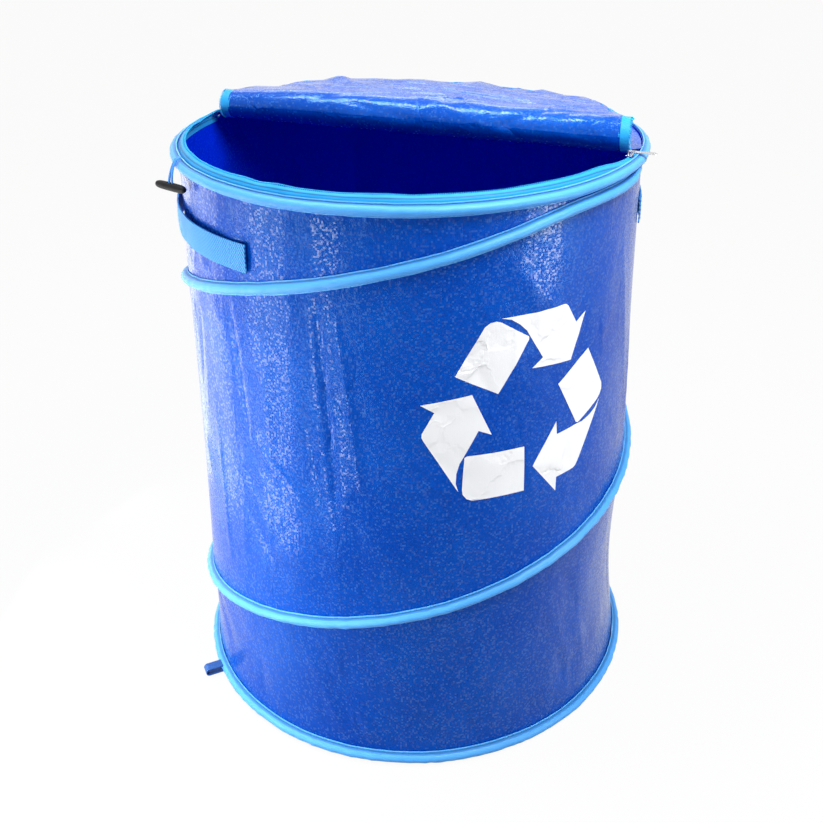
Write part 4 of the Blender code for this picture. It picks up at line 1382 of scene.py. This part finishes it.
# %% Sign outlines
SIGN_ANGLE = -63.4
SIGN_LEVEL = 0.388
TAIL = [(-0.0720, 0.0450), (-0.0450, 0.0900), (-0.0400, 0.0935), (-0.0340, 0.0940), (-0.0290, 0.0920),
        (-0.0015, 0.0735), (-0.0015, 0.0705), (-0.0310, 0.0220)]
HEAD = [(-0.0290, 0.0960), (0.0350, 0.0960), (0.0390, 0.0955), (0.0420, 0.0935), (0.0545, 0.0730),
        (0.0677, 0.0800), (0.0500, 0.0360), (0.0030, 0.0410), (0.0145, 0.0490), (0.0000, 0.0730),
        (-0.0040, 0.0800), (-0.0120, 0.0880), (-0.0200, 0.0935)]
CELL = 0.0022


def arrow_part(outline, turn):
    """A mesh of a flat outline that is turned and cut into cells."""
    shape = bmesh.new()
    shape.faces.new([shape.verts.new((x, z, 0.0)) for x, z in outline])
    bmesh.ops.rotate(shape, verts=shape.verts[:], cent=CENTRE, matrix=Matrix.Rotation(radians(turn), 3, "Z"))
    for axis in (0, 1):
        low = min(v.co[axis] for v in shape.verts)
        high = max(v.co[axis] for v in shape.verts)
        normal = Vector((1 - axis, axis, 0))
        for i in range(1, int((high - low) / CELL)):
            bmesh.ops.bisect_plane(shape, geom=shape.verts[:] + shape.edges[:] + shape.faces[:], dist=0.000001,
                                   plane_co=normal * (low + i * CELL), plane_no=normal)
    bmesh.ops.triangulate(shape, faces=[f for f in shape.faces if len(f.verts) > 4])
    mesh = bpy.data.meshes.new("part")
    shape.to_mesh(mesh)
    shape.free()
    return mesh


def on_wall(angle, level, off):
    """A place a little outside the creased wall."""
    out = around(1.0, angle, 0.0)
    return wall_tree.ray_cast(around(CAN + 0.02, angle, level), -out)[0] + out * off


sign = bmesh.new()
for outline in (TAIL, HEAD):
    for turn in (0.0, -120.0, 120.0):
        sign.from_mesh(arrow_part(outline, turn))
flat = points_of(sign)
ways = flat[:, 0] + radians(SIGN_ANGLE) * SEAM
levels = flat[:, 1] + SIGN_LEVEL
lay_cloth(sign, ways, levels)
move(sign, [on_wall(degrees(way / SEAM), level, 0.0003) for way, level in zip(ways, levels)])
outwards(sign)

# %% Ink
white_ink, tree, inputs, place = new_material("white_ink", 0.34)
drift = use(tree, DRIFT, Place=place, Scale=16.0)["Tone"]
woven = use(tree, WEAVE, Cloth=cloth_map(tree), Pitch=0.0016)["Height"]
crack = use(tree, CREASES, Place=place, Size=0.034, Softness=0.1)["Height"]
feed(inputs["Base Color"], mix_colour(tree, drift * 0.4, (0.93, 0.94, 0.96), (0.80, 0.83, 0.90)))
bump(tree, inputs, crack * 0.10 + woven * 0.00004)
print_piece = piece("sign", thicken(sign, 0.0002), "root", white_ink)

# %% [markdown]
# ## Soft pieces
# Five soft pieces can't follow the rim as it comes down, because real cloth crumples between the
# turns of the spring. Each of them gets a mesh of its own.

# %% Own meshes
for made in (wall, spiral_band, spiral_spring, spiral_stitches, print_piece):
    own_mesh(made)

# %% [markdown]
# ## Studio
# The floor looks white to the camera and in reflections, lights the can only a little and keeps a soft
# shadow. Four upright strips stand low at the left, because a standing wall seen from above mirrors
# what is low beside it: they make its wide pale sheen. A light above and one behind serve the lid, and
# a key light and a low one at the front right serve the sign's side.

# %% Floor and world
FLOOR_GLOW = 0.95            # share of plain white in what the camera and mirrors see of the floor
AMBIENT = 0.15               # what the sky gives to plain surfaces; it looks white itself
WHITE = (1.0, 1.0, 1.0)


def looked_at(tree):
    """The Light Path's outputs, and 1 for rays from the camera, off a mirror or through glass."""
    rays = node(tree, "LightPath")
    seen = rays["Is Camera Ray"].math("MAXIMUM", rays["Is Glossy Ray"])
    return rays, seen.math("MAXIMUM", rays["Is Transmission Ray"])


shape = bmesh.new()
bmesh.ops.create_grid(shape, x_segments=1, y_segments=1, size=30.0)
mesh = bpy.data.meshes.new("floor")
shape.to_mesh(mesh)
shape.free()
floor_material, tree, inputs, place = new_material("pale_floor", 0.9)
drift = use(tree, DRIFT, Place=place, Scale=3.0)["Tone"]
rays, seen = looked_at(tree)
plain = mix_colour(tree, drift, (0.19, 0.19, 0.19), (0.21, 0.21, 0.21))
feed(inputs["Base Color"], mix_colour(tree, rays["Is Camera Ray"], plain, (0.6, 0.6, 0.6)))
surface = Value(tree.nodes["Principled BSDF"].outputs[0])
glow = node(tree, "Emission", {"Color": WHITE})[0]
mixed = node(tree, "MixShader", {0: seen * FLOOR_GLOW, 1: surface, 2: glow})[0]
feed(tree.nodes["Material Output"].inputs["Surface"], mixed)
mesh.materials.append(floor_material)
add_object("floor", mesh)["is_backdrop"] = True

world = bpy.data.worlds.new("world")
bpy.context.scene.world = world
world.use_nodes = True
background = world.node_tree.nodes["Background"].inputs
feed(background["Strength"], looked_at(world.node_tree)[1].line(1.0 - AMBIENT, AMBIENT))
feed(background["Color"], WHITE)


# %% Lights
def softbox(name, azimuth, elevation, distance, width, height, level, aim_level):
    """An area light that aims at the can's axis. level is how bright its face looks."""
    lamp = bpy.data.lights.new(name, "AREA")
    lamp.shape = "RECTANGLE"
    lamp.size = width
    lamp.size_y = height
    lamp.energy = level * width * height * pi
    holder = add_object(name, lamp)
    aim = UP * aim_level
    place = aim + around(distance * cos(radians(elevation)), azimuth, distance * sin(radians(elevation)))
    turn = (aim - place).normalized().to_track_quat("-Z", "Y")
    holder.matrix_world = Matrix.Translation(place) @ turn.to_matrix().to_4x4()
    holder.visible_camera = False


for azimuth, distance, width, level in ((236.0, 0.62, 0.09, 8.0), (210.0, 0.52, 0.19, 6.0),
                                        (177.0, 0.50, 0.15, 2.8), (150.0, 0.48, 0.10, 2.0)):
    softbox("left_softbox_%d" % azimuth, azimuth, 0.0, distance, width, 0.54, level, 0.28)
softbox("top_softbox", 186.0, 67.0, 1.7, 0.50, 0.9, 17.0, TOP)
softbox("rear_softbox", 97.0, 36.0, 1.5, 1.05, 0.42, 3.6, TOP)
softbox("key", -54.0, 54.0, 1.00, 0.50, 0.50, 15.0, 0.48)
softbox("low_light", -32.0, 0.0, 0.88, 0.30, 0.26, 11.0, 0.33)

# %% [markdown]
# ## Sizes, and the end
# The dressed model's box is measured against the imported model's, and how much it grows along each axis is
# printed.

# %% Finish
low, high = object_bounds()
print("grows", [round((high[i] - low[i]) - (cad_high[i] - cad_low[i]), 4) for i in range(3)])
